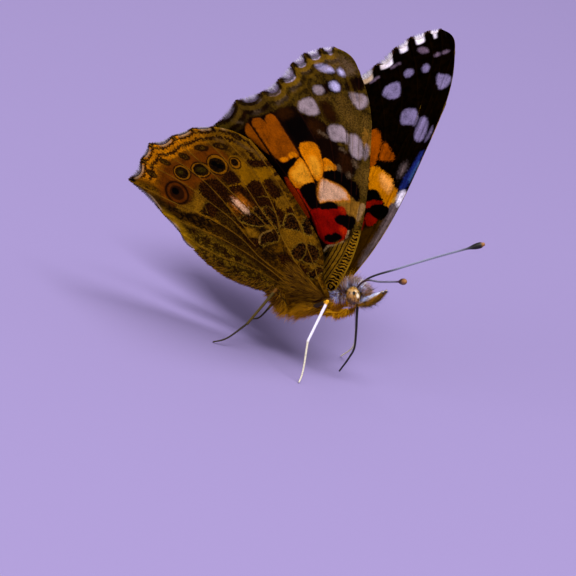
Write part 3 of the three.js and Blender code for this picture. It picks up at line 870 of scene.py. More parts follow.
hindUnderMarks = {
    "Shade": [
        blob(
            (0.4, -4.6), (2.0, -5.6), (4.2, -7.0), (6.6, -8.2), (8.4, -9.4), (9.2, -11.0), (9.0, -13.2),
            (7.6, -12.2), (5.6, -10.4), (3.4, -8.6), (1.0, -6.8),
        ),
    ],
    "Olive": [
        blob(
            (0.2, -7), (2.0, -7.4), (4.4, -9.4), (6.4, -11.4), (8, -13.4), (9.6, -15.9), (10.6, -18.4),
            (8.5, -18.0), (6, -16.8), (3.6, -15.0), (1.8, -13.0), (0.6, -10.4),
        ),
    ],
    "Pale": [
        blob(
            (6.4, -0.2), (7.7, -0.1), (7.8, -1.3), (8.5, -1.7), (8.5, -2.6), (8.8, -3.7), (8.4, -4.5),
            (7, -4.1), (6.1, -3.9), (6.5, -2.8), (6.9, -1.8), (6.5, -1.2),
        ),
        blob((2.9, -0.6), (4.0, -0.9), (3.9, -2.0), (3.1, -2.0)),
        blob(
            (10.9, -2.3), (12.2, -2.2), (13.2, -2.5), (13.2, -3.4), (12.6, -4.1), (11.4, -3.9),
            (10.9, -3.2),
        ),
        blob((7.5, -7.3), (8.4, -7.2), (9, -8.0), (8.8, -8.7), (8.0, -8.8), (7.5, -8.2)),
        blob(
            (12.7, -12.4), (11.8, -12.9), (11.2, -13.8), (11.0, -14.8), (11.1, -16.0), (11.8, -16.8),
            (12.3, -16.3), (12.1, -15.2), (12.5, -14.3), (13.3, -13.9), (14.1, -13.6), (14.0, -12.8),
        ),
    ],
    "Gold": [
        blob(
            (15.7, -2.9), (17.0, -2.9), (16.9, -3.8), (16.6, -4.6), (16.7, -5.6), (17.4, -6.0),
            (18.2, -6.6), (18.5, -7.4), (18.0, -8.1), (17.2, -8.3), (16.4, -8.0), (16.0, -7.2),
            (15.4, -7.2), (14.8, -7.4), (14.7, -8.2), (14.5, -9.2), (14.1, -9.1), (13.9, -8.0), (14.2, -7),
            (14.7, -6.3), (15, -5.8), (15, -5), (14.6, -4.5), (14.9, -4.0), (15.6, -3.6),
        ),
        blob((15.3, -10.8), (15.4, -12.0), (15.7, -12.8), (15.9, -12.0), (15.8, -10.9)),
        blob((15.0, -13.0), (14.8, -14.0), (15.2, -14.9), (15.6, -14.0), (16.4, -13.4), (16.0, -12.9)),
    ],
    "Haze": [
        blob(
            (18.4, -8.0), (19.6, -9.0), (19.6, -10.8), (18.9, -12.4), (18.2, -14.2), (17.6, -16.4),
            (15.8, -17.8), (13.0, -18.4), (12.0, -16.6), (12.6, -14.6), (14.6, -13.4), (15.2, -11.2),
            (15.6, -9.4), (16.8, -8.2),
        ),
    ],
    "Umber": [
        blob((11.6, -7.2), (12.7, -7.4), (13.1, -8.6), (13.3, -9.4), (12.2, -9.8), (11.8, -8.6)),
        blob((8.9, -3.7), (9.8, -3.5), (11.0, -3.4), (11.3, -3.9), (10.4, -4.25), (9.2, -4.2)),
        blob((10.6, -1.8), (11.4, -2.1), (11.0, -2.8), (10.6, -2.6)),
        blob(
            (11.2, -4.0), (12.6, -4.3), (13.1, -5.2), (12.9, -6.4), (12.2, -6.3), (11.7, -5.8),
            (11.9, -5.0),
        ),
        blob(
            (12.9, -3.2), (13.6, -2.9), (15.0, -3.7), (15.1, -4.1), (14.7, -4.5), (13.4, -4.3),
            (12.8, -3.9),
        ),
        blob(
            (13.0, -4.8), (14.5, -4.8), (14.9, -5.5), (14.7, -6.2), (13.9, -7.0), (13.1, -7.1), (12.8, -6),
        ),
        blob((11.4, -6.0), (12.2, -6.5), (13.0, -6.9), (12.8, -7.3), (12.2, -7.0), (11.6, -6.6)),
        blob((13.1, -7.3), (14.2, -7.3), (14.3, -8.2), (14.2, -9.1), (13.4, -8.9), (13.2, -8.2)),
        blob((14.8, -7.6), (15.8, -7.8), (16.3, -8.4), (15.9, -8.9), (15.5, -9.4), (14.8, -9.2)),
        blob(
            (12.3, -9.7), (13.6, -9.3), (14.8, -9.9), (15.3, -10.8), (15.1, -12.0), (14.5, -12.8),
            (13.2, -12.7), (12.3, -11.4),
        ),
        blob(
            (10.9, -10.2), (11.9, -10.6), (12.3, -11.8), (12.2, -12.8), (11.2, -13.2), (10.4, -12.4),
            (10.6, -11.4),
        ),
        blob(
            (17.0, -2.9), (17.5, -3.2), (17.4, -4.4), (17.7, -5.4), (17.4, -5.9), (17.0, -5.0),
            (17.0, -3.9),
        ),
        blob((3.2, -4.4), (4.2, -3.9), (5.4, -4.6), (5.2, -5.4), (4.4, -5.5), (3.3, -5.0)),
        blob((1.6, -2.4), (2.8, -2.6), (4.0, -3.2), (3.4, -4.2), (1.8, -4.0)),
        blob((6.7, -7.6), (7.3, -7.7), (7.3, -8.6), (8.0, -9.1), (7.0, -9.0), (6.2, -8.0)),
        streak(0.3, (9.4, -8.9), (10.2, -9.6)),
    ],
    "Dark": [
        blob(
            (4.0, -1.2), (5, -0.6), (5.6, -0.3), (6.5, -0.7), (6.5, -1.6), (5.6, -2), (4.9, -2.4),
            (4.4, -2.8), (4.1, -2.2),
        ),
        blob(
            (4.3, -3.4), (5, -2.5), (5.6, -2.1), (6.4, -1.7), (6.8, -2.2), (6.3, -3), (5.9, -3.7),
            (5.2, -3.8),
        ),
        streak(0.36, (3.2, -0.9), (2.4, -2.2)),
        blob((7.7, -0.6), (8.4, -0.4), (9.9, -0.2), (10.0, -0.8), (9.3, -1.3), (8, -1.5)),
        blob(
            (8.4, -1.6), (9.4, -1.7), (10.4, -2.1), (10.6, -2.6), (10.2, -3.1), (9.5, -3.5), (8.8, -3.8),
            (8.6, -2.8),
        ),
        blob(
            (8.4, -4.6), (9.5, -4.2), (10.7, -4.3), (11.4, -4.7), (11.6, -5.2), (11.2, -5.8), (10.4, -5.4),
            (9.5, -5.0),
        ),
        blob(
            (7.0, -5.2), (7.6, -4.8), (8.4, -4.6), (8.7, -5), (8.4, -5.8), (8.1, -6.6), (7.6, -7.1),
            (7.1, -7.3), (6.4, -7.4), (6.9, -6.6),
        ),
        blob(
            (9, -5.2), (9.8, -5.5), (10.7, -5.9), (11.5, -6.1), (11.5, -6.8), (11, -6.9), (10.2, -6.3),
            (9.4, -5.9),
        ),
        blob(
            (9.1, -5.9), (9.8, -6.3), (10.8, -7.0), (10.9, -7.6), (10.4, -8.4), (10.3, -8.9), (9.9, -9.0),
            (9.5, -8.2), (9.2, -7.4),
        ),
    ],
    "Mottle": [
        blob((8.8, -10.5), (9.6, -9.5), (10.6, -9.8), (11.6, -11), (10.9, -11.6), (10.2, -12.1)),
        dot(4.8, -10.9, 0.45), dot(2.3, -9, 0.4), streak(0.25, (5.2, -12), (5.9, -12.4), (6.5, -13.1)),
        streak(0.22, (3.4, -9.0), (4.2, -10.0)), streak(0.25, (6.4, -10.4), (7.2, -11.8)),
        streak(0.25, (7.6, -11.2), (8.6, -13.0)), dot(3.2, -11.6, 0.45, 0.3), dot(5.0, -8.9, 0.5, 0.3, -40),
        dot(6.6, -9.4, 0.6, 0.35, -40), dot(7.4, -14.2, 0.5, 0.35, -50), dot(4.3, -13.4, 0.4, 0.25, -30),
        dot(8.6, -15.4, 0.5, 0.3, -60),
    ],
    "Lunule": [
        dot(20.8, -6.1, 0.4, 0.28, -55), dot(19.65, -8.5, 0.28, 0.6, 12), dot(19.5, -11.0, 0.28, 0.6, 4),
        dot(18.45, -13.5, 0.28, 0.5, 30), dot(17.8, -16.2, 0.26, 0.5, 30), dot(16.3, -18.4, 0.28, 0.5, 40),
    ],
    # The glow and the cream spot are a real pale patch with rays, made brighter with painted sheen
    "Glow": [
        blob(
            (10.3, -9.0), (10.9, -8.0), (11.4, -6.9), (12.1, -6.6), (13.0, -7.2), (13.5, -8.0),
            (13.3, -9.0), (12.4, -9.6), (11.2, -9.7),
        ),
    ],
    "Cream": [blob((10.6, -8.2), (10.9, -7.4), (11.7, -7.7), (12.9, -8.9), (12.7, -9.5), (11.6, -8.9))],
    "Brim": [dot(13.72, -15.95, 1.62, 1.52)],
    "Ring": [
        dot(17.4, -7.35, 0.68, 0.62), dot(17.25, -9.65, 1.22, 1.26, 80), dot(16.65, -11.95, 0.94, 1.12),
        dot(16.35, -14.45, 0.94, 0.98),
    ],
    "Iris": [dot(13.72, -15.95, 1.32, 1.22)],
    "Pupil": [
        dot(17.5, -7.4, 0.5, 0.46), dot(17.2, -9.7, 0.98, 1.04), dot(16.65, -11.95, 0.8, 0.98),
        dot(16.35, -14.5, 0.78, 0.84),
    ],
    "Disc": [dot(13.72, -15.95, 1.0, 0.9)],
    "Centre": [dot(16.65, -11.95, 0.36, 0.6), dot(16.4, -14.6, 0.26, 0.3), dot(17.25, -9.65, 0.2, 0.32)],
    "Core": [dot(13.95, -16.1, 0.5, 0.46), dot(17.05, -9.4, 0.35, 0.5), dot(17.4, -10.0, 0.35, 0.4)],
    "Line": [
        streak(0.05, (3.6, -1.7), (4.1, -2.3), (4.5, -2.9), (5.3, -2.1), (6.4, -1.6)),
        streak(0.05, (4.3, -3.7), (6, -4.0), (7.2, -4.3), (8.1, -4.4)),
        streak(
            0.05, (7.7, -1.5), (9, -1.5), (10, -1.8), (10.7, -2.2), (10.4, -3.1), (9.8, -3.5), (9, -3.9),
        ),
        streak(0.06, (7.8, -4.6), (7.0, -5), (6.8, -5.9), (6.5, -6.7), (6.3, -7.2)),
        streak(
            0.06, (8.8, -5.4), (9.1, -6.1), (9.0, -6.8), (9.1, -7.7), (9.4, -8.5), (9.8, -9.2),
            (10.2, -9.4),
        ),
        streak(0.05, (12.8, -4.4), (13.0, -5.1), (12.8, -6.4)),
        streak(0.05, (10.9, -12.9), (12.2, -13.0), (12.4, -12.2)),
    ],
    "Stem": [streak(0.1, (8.6, -5.4), (8.3, -6.1), (8.15, -6.7), (7.6, -7.25), (6.9, -7.5))],
    "Lilac": [
        streak(0.14, (18, -3.7), (18.9, -4.5), (19.4, -5.5), (20.1, -6.3)),
        streak(0.12, (20.2, -8), (20.6, -8.8)),
    ],
    "Tooth": [
        dot(22.0, -8.7, 0.3), dot(21.9, -11.4, 0.3), dot(21.0, -14.1, 0.32), dot(20.15, -17.3, 0.42),
        dot(18.1, -19.1, 0.42), dot(15.6, -21.3, 0.55, 0.45),
    ],
}

hindUpperMarks = {
    "Brown": [
        blob(
            (-1, 1), (3, 0.9), (8, 0.4), (13, -1.4), (13.0, -2.6), (9.4, -3.2), (8.4, -6.0), (7.6, -9.0),
            (6.8, -12.4), (7.4, -16.4), (4.6, -16.0), (1.6, -12.4), (-1, -8),
        ),
    ],
    "Band": [
        blob((12.4, -2.2), (14.6, -3.0), (15.4, -4.6), (13.8, -5.4), (11.8, -4.6), (11.2, -3.0)),
        blob(
            (9.0, -3.2), (10.6, -3.6), (11.8, -5.2), (11.6, -7.0), (10.4, -8.6), (9.6, -7.6), (10.0, -6.0),
            (9.2, -4.6),
        ),
        blob((8.6, -9.2), (9.8, -9.6), (10.2, -11.4), (9.4, -13.0), (8.6, -12.4), (8.9, -10.8)),
    ],
    "Black": [
        dot(17.7, -7.2, 0.75), dot(17.3, -9.6, 0.85), dot(16.65, -11.7, 0.7), dot(16.2, -14.2, 0.75),
        dot(13.9, -15.9, 0.7), dot(19.4, -7.6, 0.55, 0.3, 60), dot(19.0, -10.3, 0.6, 0.3, 80),
        dot(18.6, -12.6, 0.6, 0.3, -70), dot(17.9, -14.9, 0.6, 0.3, -60), dot(16.0, -17.2, 0.6, 0.3, -50),
        dot(21.3, -8.5, 0.7, 0.5), dot(21.3, -11.3, 0.7, 0.5), dot(20.4, -14.0, 0.7, 0.5),
        dot(19.4, -16.8, 0.7, 0.5), dot(17.5, -18.6, 0.7, 0.5), dot(15.2, -20.6, 0.7, 0.6),
    ],
}

wingMarks = {
    "forewing": {"Under": foreUnderMarks, "Upper": foreUpperMarks},
    "hindwing": {"Under": hindUnderMarks, "Upper": hindUpperMarks},
}

# For each marking: its colour, how soft its edge is, how ragged, and what else it wears: a rim
# just inside its edge, a halo just outside, specks of another colour, an edge that grows past
# the drawn one, or rays that break it up.

wingColours = {
    "forewing": {
        "Under": {
            "Olive": ("705418", 0.7, 1.4, {"specks": ("342204", 0.6)}),
            "Ash": ("745c38", 0.6, 1.4, {"specks": ("342204", 0.5)}), "Deep": ("120500", 0.3, 1.0),
            "Night": ("060200", 0.5, 0.8), "Brown": ("2c1400", 0.45, 1.0), "Ochre": ("a0701c", 0.3, 1.0),
            "Red": ("8c0800", 0.12, 0.4), "Ember": ("b82400", 0.3, 0.3), "Flame": ("c23800", 0.12, 0.3),
            "Dull": ("9c4e00", 0.12, 0.3), "Orange": ("ec8800", 0.12, 0.4), "Yellow": ("ffaa1e", 0.35, 0.5),
            "Cream": ("ecba84", 0.25, 0.6, {"rim": ("e88c10", 0.5)}), "Bar": ("a8854a", 0.12, 0.2),
            "Edging": ("b89c60", 0.1, 0.4), "Black": ("040100", 0.1, 0.4), "Smoke": ("6c5838", 0.3, 0.8),
            "White": ("b2a096", 0.26, 0.3, {"grow": -0.04}), "Spark": ("e0daf4", 0.3, 0.3),
        },
        "Upper": {
            # Lavender, blue and sky are painted sheen; peach and snow are painted highlights
            "Warm": ("2c1800", 0.5, 0.8), "LavenderSheen": ("5c4c4c", 0.5, 0.8), "Blue": ("16205c", 0.25, 0.6),
            "Sky": ("2c4470", 0.2, 0.4), "Orange": ("ac6400", 0.15, 0.8), "Tawny": ("9a4c06", 0.3, 1.4),
            "PeachHighlight": ("dc9040", 0.4, 0.8), "Rust": ("7c3600", 0.18, 0.8), "Red": ("6a0800", 0.12, 0.6),
            "Black": ("020100", 0.08, 0.2), "Cream": ("b07c20", 0.15, 0.2), "WhiteHighlight": ("d8cce0", 0.3, 0.5),
            "White": ("685c7e", 0.22, 0.3, {"grow": -0.1}), "Lilac": ("5c4a5c", 0.2, 0.3),
        },
    },
    "hindwing": {
        "Under": {
            "Shade": ("3a2200", 0.7, 2.0, {"specks": ("180a00", 0.7)}),
            "Olive": ("785808", 0.5, 0.8, {"specks": ("2c1800", 0.6)}),
            "Pale": ("8c6008", 0.25, 0.8, {"specks": ("4e3000", 0.5)}), "Gold": ("926200", 0.2, 0.6),
            "Haze": ("6e3600", 0.6, 0.6),
            "Umber": (
                "220c00", 0.08, 1.3,
                {"grow": 0.2, "rim": ("080200", 0.2), "specks": ("5a3000", 0.35), "halo": ("a47c18", 0.1)},
            ),
            "Dark": (
                "120700", 0.06, 1.0, {"grow": 0.08, "specks": ("5c3404", 0.5), "halo": ("a88424", 0.1)},
            ),
            "Mottle": ("2a1400", 0.15, 1.4, {"grow": 0.1, "specks": ("5c4204", 0.5)}),
            "Lunule": ("2a1400", 0.1, 0.3, {"specks": ("6c4c04", 0.6), "halo": ("140800", 0.12)}),
            # Glow and cream here: a real pale patch, brightened with painted sheen
            "Glow": ("b46408", 0.8, 1.8, {"grow": -0.3, "rays": (0.3, 0.6)}),
            "Cream": ("ffcc90", 0.4, 1.4, {"grow": -0.12, "rays": (0.3, 0.55)}),
            "Brim": ("220c00", 0.14, 0.15), "Ring": ("945c00", 0.06, 0.2, {"halo": ("240e00", 0.14)}),
            "Iris": ("5c2a00", 0.1, 0.1, {"halo": ("240e00", 0.14)}),
            "Pupil": ("140800", 0.06, 0.2, {"specks": ("3a2400", 0.4)}), "Disc": ("2c1200", 0.1, 0.1),
            "Centre": ("423400", 0.12, 0.3, {"specks": ("140a00", 0.5)}), "Core": ("020100", 0.1, 0.1),
            "Line": ("8a6812", 0.05, 0.12), "Stem": ("8c6824", 0.05, 0.2), "Lilac": ("6e4e1c", 0.3, 0.6),
            "Tooth": ("0e0500", 0.15, 0.2),
        },
        "Upper": {
            "Brown": ("24140a", 1.0, 2.0), "Band": ("1a0a04", 0.35, 1.6), "Black": ("060302", 0.14, 0.6),
        },
    },
}
groundColours = {
    "forewing": {"Under": ("5c460c", "1c1000"), "Upper": ("020100", "060200")},
    "hindwing": {"Under": ("865800", "201000"), "Upper": ("9a4a06", "7a3400")},
}
veinColours = {
    "forewing": {"Under": ("5c4208", 0.45), "Upper": ("100600", 0.3)},
    "hindwing": {"Under": ("80580c", 0.8), "Upper": ("24140a", 0.85)},
}
warmMarks = ("Orange", "Dull", "Yellow", "Red", "Flame", "Cream", "Rust", "Deep", "Ochre", "Tawny")


def layered(paint, kind, face, colour, fine, specks, rays):  # lays the markings over one another
    warm = 0.0
    for mark, (code, soft, ragged, *wears) in wingColours[kind][face].items():
        worn = wears[0] if wears else {}
        away = paint.number(face + mark) + fine * ragged
        if "halo" in worn:
            ring, width = worn["halo"]
            colour = paint.mix(away.rise(width + soft, width - 0.02) * 0.9, colour, tint(ring))
        fill = tint(code)
        away = away - worn.get("grow", 0.0)
        if "rim" in worn:
            brim, width = worn["rim"]
            fill = paint.mix(away.rise(0.0, -width), tint(brim), fill)
        if "specks" in worn:
            speck, share = worn["specks"]
            fill = paint.mix(specks * share, fill, tint(speck))
        inside = away.rise(soft, -soft)
        if "rays" in worn:
            inside = inside * rays.rise(*worn["rays"])
        colour = paint.mix(inside, colour, fill)
        if mark in warmMarks:
            warm = inside + warm
    return colour, warm


def costalBars(paint, colour, flat, front):  # black bars behind the front edge, and dark lines behind them
    x, y, _ = paint.axes(flat)
    along = (x * x + y * y).math("SQRT")
    fine = paint.noise(flat, 2.2) - 0.5
    beat = (along * 13.5 + front * 4.0 + fine * 9.0).math("SINE")
    fan = (front * 14.0 + along * 1.2 + fine * 2.5).math("SINE")
    root = along.rise(9.6, 8.6)
    behind = front - (1.4 - along * 0.075)
    inner = behind.rise(-0.05, 0.1) * front.rise(2.9, 2.3) * x.rise(5.4, 4.6)
    lined = paint.mix(fan.rise(-0.75, -0.45), tint("1e1002"), tint("86600a"))
    colour = paint.mix(root * inner, colour, lined)
    strip = behind.rise(0.06, -0.06) * front.rise(0.1, 0.2) * root
    barred = paint.mix(beat.rise(-0.45, -0.1), tint("a8780c"), tint("060200"))
    colour = paint.mix(strip, colour, barred)
    return paint.mix(front.rise(0.22, 0.1) * root, colour, tint("94700e"))


def hindMargin(paint, colour, flat, edge, fine, specks):  # bands that follow the hindwing's scalloped margin
    x, y, along = paint.axes(flat)
    wavy = edge + fine
    outer = along.rise(0.55, 0.7) * (x * 1.9 + y).rise(8.5, 11.0)
    band = paint.mix(y.rise(-8.0, -14.0), tint("7c5404"), tint("d48000"))
    band = paint.mix(specks * 0.3, band, tint("4a2600"))
    colour = paint.mix(wavy.rise(2.9, 1.8) * outer, colour, band)
    colour = paint.mix(wavy.within(1.05, 1.45, 0.12) * outer * 0.95, colour, tint("1e0a00"))
    colour = paint.mix(wavy.within(1.9, 2.3, 0.2) * outer * 0.6, colour, tint("301400"))
    return paint.mix(wavy.within(0.25, 0.55, 0.08) * outer * 0.95, colour, tint("1e0a00"))


def foreMargin(paint, colour, flat, edge, fine):  # the same on the forewing, narrower and weaker
    x, y, along = paint.axes(flat)
    wavy = edge + fine * 0.5
    outer = along.rise(0.55, 0.7) * x.rise(20.4, 21.4) * y.rise(16.4, 15.4)
    band = paint.mix(y.rise(4.0, 9.0), tint("5c440c"), tint("8c680c"))
    colour = paint.mix(wavy.within(0.35, 0.95, 0.15) * outer * 0.85, colour, band)
    colour = paint.mix(wavy.within(1.05, 1.4, 0.2) * outer * 0.6, colour, tint("221200"))
    colour = paint.mix(wavy.within(1.5, 1.8, 0.2) * outer * 0.35, colour, band)
    return paint.mix(wavy.rise(0.35, 0.2) * outer * 0.8, colour, tint("1c0e00"))


def edgeSpots(paint, kind, face, colour, edge, near, x, y):  # at the margin, between the veins or on them
    between = near.rise(0.4, 0.75)
    if kind == "forewing":
        depth, share, code = (0.75, 1.0, "d4c8d8") if face == "Upper" else (0.5, 0.95, "ece0ec")
        spots = edge.rise(depth, depth * 0.6) * between * y.within(4.0, 15.8, 1.0) * x.rise(23.4, 24.2)
        pale = paint.mix(y.rise(6.0, 10.0), tint("a4886c"), tint(code))
        return paint.mix(spots * share, colour, pale)
    if face == "Under":
        return paint.mix(edge.rise(0.3, 0.12) * between * y.rise(-6.5, -9.0) * 0.7, colour, tint("b89868"))
    colour = paint.mix(edge.rise(1.3, 0.9) * near.rise(0.7, 0.4), colour, tint("0a0502"))
    return paint.mix(edge.rise(0.5, 0.3), colour, tint("120803"))


def hindGround(paint, colour, near, x, y):  # the hindwing's dark cells, with a finer dark scrawl in them
    middle = near.rise(0.1, 0.55) * (0.3 + (y.rise(-4.0, -9.0) * x.rise(14.5, 12.0)) * 0.45)
    colour = paint.mix(middle, colour, tint("1c0c00"))
    worm = paint.noise(paint.point(x * 1.1 + y * 0.4, y * 0.8), 1.0) - 0.5
    crawl = worm.math("ABSOLUTE").rise(0.08, 0.02) * near.rise(0.08, 0.2)
    share = y.rise(-4.0, -8.0) * x.rise(14.0, 11.0) * 0.7 + 0.35
    return paint.mix(crawl * share, colour, tint("160a00"))


def hindRings(paint, colour, edge, near, x, y):  # dark rings on the olive patches, and a yellow inner edge
    loops = paint.noise(paint.point(x * 1.3 + y * 0.5, y * 0.9 - x * 0.3), 1.0) - 0.5
    looped = loops.math("ABSOLUTE").rise(0.075, 0.03) * near.rise(0.1, 0.25)
    colour = paint.mix(looped * paint.number("UnderOlive").rise(-0.1, -0.6) * 0.8, colour, tint("1e0e00"))
    return paint.mix(edge.rise(1.2, 0.2) * (x * 1.9 + y).rise(5.0, 2.0) * 0.85, colour, tint("a87c08"))


def wingPaint(kind, face):
    paint = Paint(kind + " " + face.lower(), roughness=0.8, specular=0.02 if face == "Under" else 0.0)
    flat = paint.vector("flat")
    fine = paint.noise(flat, 4.0) - 0.5
    specks = paint.noise(flat, 5.5, 0.0).rise(0.5, 0.56)
    edge = paint.number("edge")
    near = paint.number("vein")
    ground, mottle = (tint(code) for code in groundColours[kind][face])
    x, y, _ = paint.axes(flat)
    bearing = y.math("ARCTAN2", x + 2.0)
    streaks = paint.noise(paint.point(x * 0.35, bearing * 34.0), 1.0)
    mottled = paint.noise(flat, 1.8).rise(0.42, 0.6) * 0.65 + specks * 0.25 + streaks.rise(0.5, 0.62) * 0.25
    colour = paint.mix(mottled.smaller(0.9), ground, mottle)
    hindUnder = (kind, face) == ("hindwing", "Under")
    if hindUnder:
        colour = hindGround(paint, colour, near, x, y)
        colour = hindMargin(paint, colour, flat, edge, fine, specks)
    colour, warm = layered(paint, kind, face, colour, fine, specks, streaks)
    if hindUnder:
        colour = hindRings(paint, colour, edge, near, x, y)
    colour = edgeSpots(paint, kind, face, colour, edge, near, x, y)
    if (kind, face) == ("forewing", "Under"):
        colour = foreMargin(paint, colour, flat, edge, fine)
        colour = costalBars(paint, colour, flat, paint.number("front"))
    code, strength = veinColours[kind][face]
    shade = paint.mix(warm.smaller(1.0), tint(code), tint("2e1204")) if kind == "forewing" else tint(code)
    colour = paint.mix(near.rise(0.1, 0.03) * strength, colour, shade)
    scales = paint.axes(paint.cells(flat, 9.0, "Color"))
    patchy = paint.noise(flat, 0.9).rise(0.3, 0.7) * 0.4 + (0.2 if kind == "forewing" else 0.14)
    colour = paint.light(colour, scales[0] * 0.4 + streaks * 0.7 + patchy)
    normal = paint.bump(scales[1], 0.25, 0.00003)
    return paint.finish(Base_Color=colour, Normal=normal)


wingPaints = {kind: [wingPaint(kind, "Upper"), wingPaint(kind, "Under")] for kind in wingColours}

for name in sides:
    for kind in wingLines:
        makeWing(kind, name)
print("wings made")


# Cilia: a fringe of fine scales along each wing's margin

fringeFit = {
    "spacing": 0.035, "least": 0.22, "width": 0.035, "inset": 0.04, "seed": 11,
    "first": {"forewing": 3, "hindwing": 2},  # the vein that the fringe starts from
    "fill": {"forewing": 0.85, "hindwing": 0.6},  # how far it fills each scallop
    "white": {"forewing": [1, 0.75, 0.25], "hindwing": [0.35] * 3},  # at veins 3, 6 and 9
    "colours": {"forewing": ("38200c", "dccccc"), "hindwing": ("402400", "98865c")},
}


def makeFringe(kind, name):
    fit = fringeFit
    paths = veinPaths(kind)
    place, upper = wingFrame(kind, name)
    chance = np.random.default_rng(fit["seed"])
    roots, heads, lengths, whites, along = [], [], [], [], []
    for index in range(fit["first"][kind], len(paths) - 1):
        one, two = paths[index][-1], paths[index + 1][-1]
        deep = wingLines[kind][index][1]
        chord = two - one
        inward = unit(np.array([chord[1], -chord[0]]))
        f = np.arange(0, 1, fit["spacing"] / np.linalg.norm(chord) / 2)
        bulge = np.sin(math.pi * f)
        white = float(np.interp(index, [3, 6, 9], fit["white"][kind]))
        roots.append(one + chord * f[:, None] + inward * (deep * bulge + fit["inset"])[:, None])
        heads.append(np.tile(-inward, (len(f), 1)))
        lengths.append(fit["least"] + np.maximum(deep, 0.2) * bulge * fit["fill"][kind])
        whites.append(rampUp(bulge, 0.5, 0.9) * white)
        along.append((index + f) / len(paths))
    roots, heads = np.vstack(roots), np.vstack(heads)
    lengths, whites, along = np.concatenate(lengths), np.concatenate(whites), np.concatenate(along)
    count = len(roots)
    heads = heads + chance.normal(0, 0.16, (count, 2))
    start = place(roots)
    outward = np.tile(upper, (count, 1))
    ahead = unit(unit(place(roots + heads * 0.1) - start) + outward * chance.normal(0, 0.06, (count, 1)))
    length = lengths * chance.uniform(0.7, 1.2, count)
    width = np.full(count, fit["width"])
    spots = mapSpots(along, chance.uniform(0.4, 0.6, count))
    whites = whites * chance.uniform(0.7, 1.5, count)
    mesh = tufts(kind + "_fringe_" + name, start, ahead, outward, length, width, 0.0, whites, spots)
    showPiece(mesh.name, mesh, (), [fringePaints[kind]])


def ciliaPaint(kind):
    paint = Paint(kind + " cilia", roughness=0.7, specular=0.05)
    dark, light = (tint(code) for code in fringeFit["colours"][kind])
    pale = paint.mix(paint.number("tip"), light, tint("e2dcf0"))
    return paint.finish(Base_Color=paint.mix(paint.number("shade").smaller(1.0), dark, pale))


fringePaints = {kind: ciliaPaint(kind) for kind in wingLines}
for name in sides:
    for kind in wingLines:
        makeFringe(kind, name)
print("fringes made")


# Body. The skin lies inside the coat of hair-like scales.

skinFit = {
    "thorax": {"path": [(-7.4, 0, -1.15), (-3.0, 0, -1.325), (1.4, 0, -1.4)], "radius": 1.95, "widen": 0.86},
    "abdomen": {
        "path": [
            (-5.6, 0, -1.3), (-6.8, 0, -0.9), (-10, 0, 0.35), (-13, 0, 1.6), (-16, 0, 2.95),
            (-18.25, 0, 4.08),
        ],
        "radius": 1.32, "tip": 0.3, "segments": 8, "foldDepth": 0.06,
    },
    "head": {"at": (2.6, 0, -0.85), "size": (1.05, 1.0, 1.05)},
    "neck": {"path": [(1.0, 0, -1.4), (2.4, 0, -1.0)], "girth": (0.85, 0.85)},
    "foreleg": {
        "path": [(-0.8, 0.9, -2.8), (-0.3, 1.1, -3.05), (0.9, 1.15, -3.15), (2.0, 1.0, -2.5)],
        "girth": (0.26, 0.156),
    },
    "voxel": 0.12,
}


def thoraxGirth(t):
    return skinFit["thorax"]["radius"] * math.sqrt(max(1 - abs(2 * t - 1) ** 2.4, 0))


def abdomenGirth(t):
    fit = skinFit["abdomen"]
    body = fit["radius"] * (1 - 0.55 * t**2.2) * (1 - t**9)
    folds = fit["foldDepth"] * (abs(math.sin(math.pi * fit["segments"] * t)) - 0.6)
    return max(body * (1 + folds), fit["tip"])


def makeSkin():
    thorax, neck, foreleg = skinFit["thorax"], skinFit["neck"], skinFit["foreleg"]
    forms = [
        toMesh("form", roundForm(thorax["path"], thoraxGirth, widen=thorax["widen"])),
        toMesh("form", roundForm(skinFit["abdomen"]["path"], abdomenGirth, rings=64)),
        toMesh("form", roundForm(neck["path"], tapered(*neck["girth"]))),
        ballMesh(1, skinFit["head"]["at"], 24, 16, skinFit["head"]["size"]),
    ]
    for side in sides.values():
        forms.append(toMesh("form", roundForm(mirrored(foreleg["path"], side), tapered(*foreleg["girth"]))))
    mesh = knitted(forms, "rough_skin", skinFit["voxel"])
    build = bmesh.new()
    build.from_mesh(mesh)
    bpy.data.meshes.remove(mesh)
    axes = {"use_axis_x": True, "use_axis_y": True, "use_axis_z": True}
    for _ in range(4):
        bmesh.ops.smooth_vert(build, verts=build.verts, factor=0.5, **axes)
    return toMesh("body_skin", build)


# The eyes' sizes stand here, because the coats keep clear of them

eyeFit = {
    "size": (0.82, 0.6, 0.98), "darkSpot": (0.4, 0.76, 0.42), "glint": (0.86, 0.42, 0.12),
    "rimScales": 420, "seed": 41, "comb": {"stray": 0.2, "width": 0.03, "bend": -0.1},
}

# Each coat: how many tufts, how wide, how much they stray, and what grows where

coatFits = {
    "body_coat": {"seed": 5, "count": 17000, "width": 0.035, "stray": 0.16, "bend": -0.12},
    "chest_coat": {"seed": 6, "count": 11000, "width": 0.03, "stray": 0.1, "bend": -0.1},
    "head_coat": {"seed": 7, "count": 8000, "width": 0.026, "stray": 0.35, "bend": -0.1, "bristles": 0.08},
    "crest_coat": {"seed": 8, "count": 2900, "width": 0.02, "stray": 0.3, "bend": 0.05, "bristles": 0.12},
}


def coatWeight(name, spots):  # how thickly a coat grows at each place
    x, _, z = spots.T
    if name == "body_coat":
        return np.where(x > -7.5, 1.6, 1.3) * (x < 1.9)
    if name == "chest_coat":
        return rampUp(x, -7.4, -6.6) * ((x < 1.5) | ((x < 2.7) & (z < -1.6))) * rampUp(-z, 0.2, 1.0)
    if name == "head_coat":
        return (x > 1.5) * (z > -2.1) * 1.0
    return (x > 0.1) * (x < 3.6) * (z > np.interp(x, [0.8, 1.0, 1.9, 2.1], [0.0, -0.9, -0.9, -0.25])) * 1.0


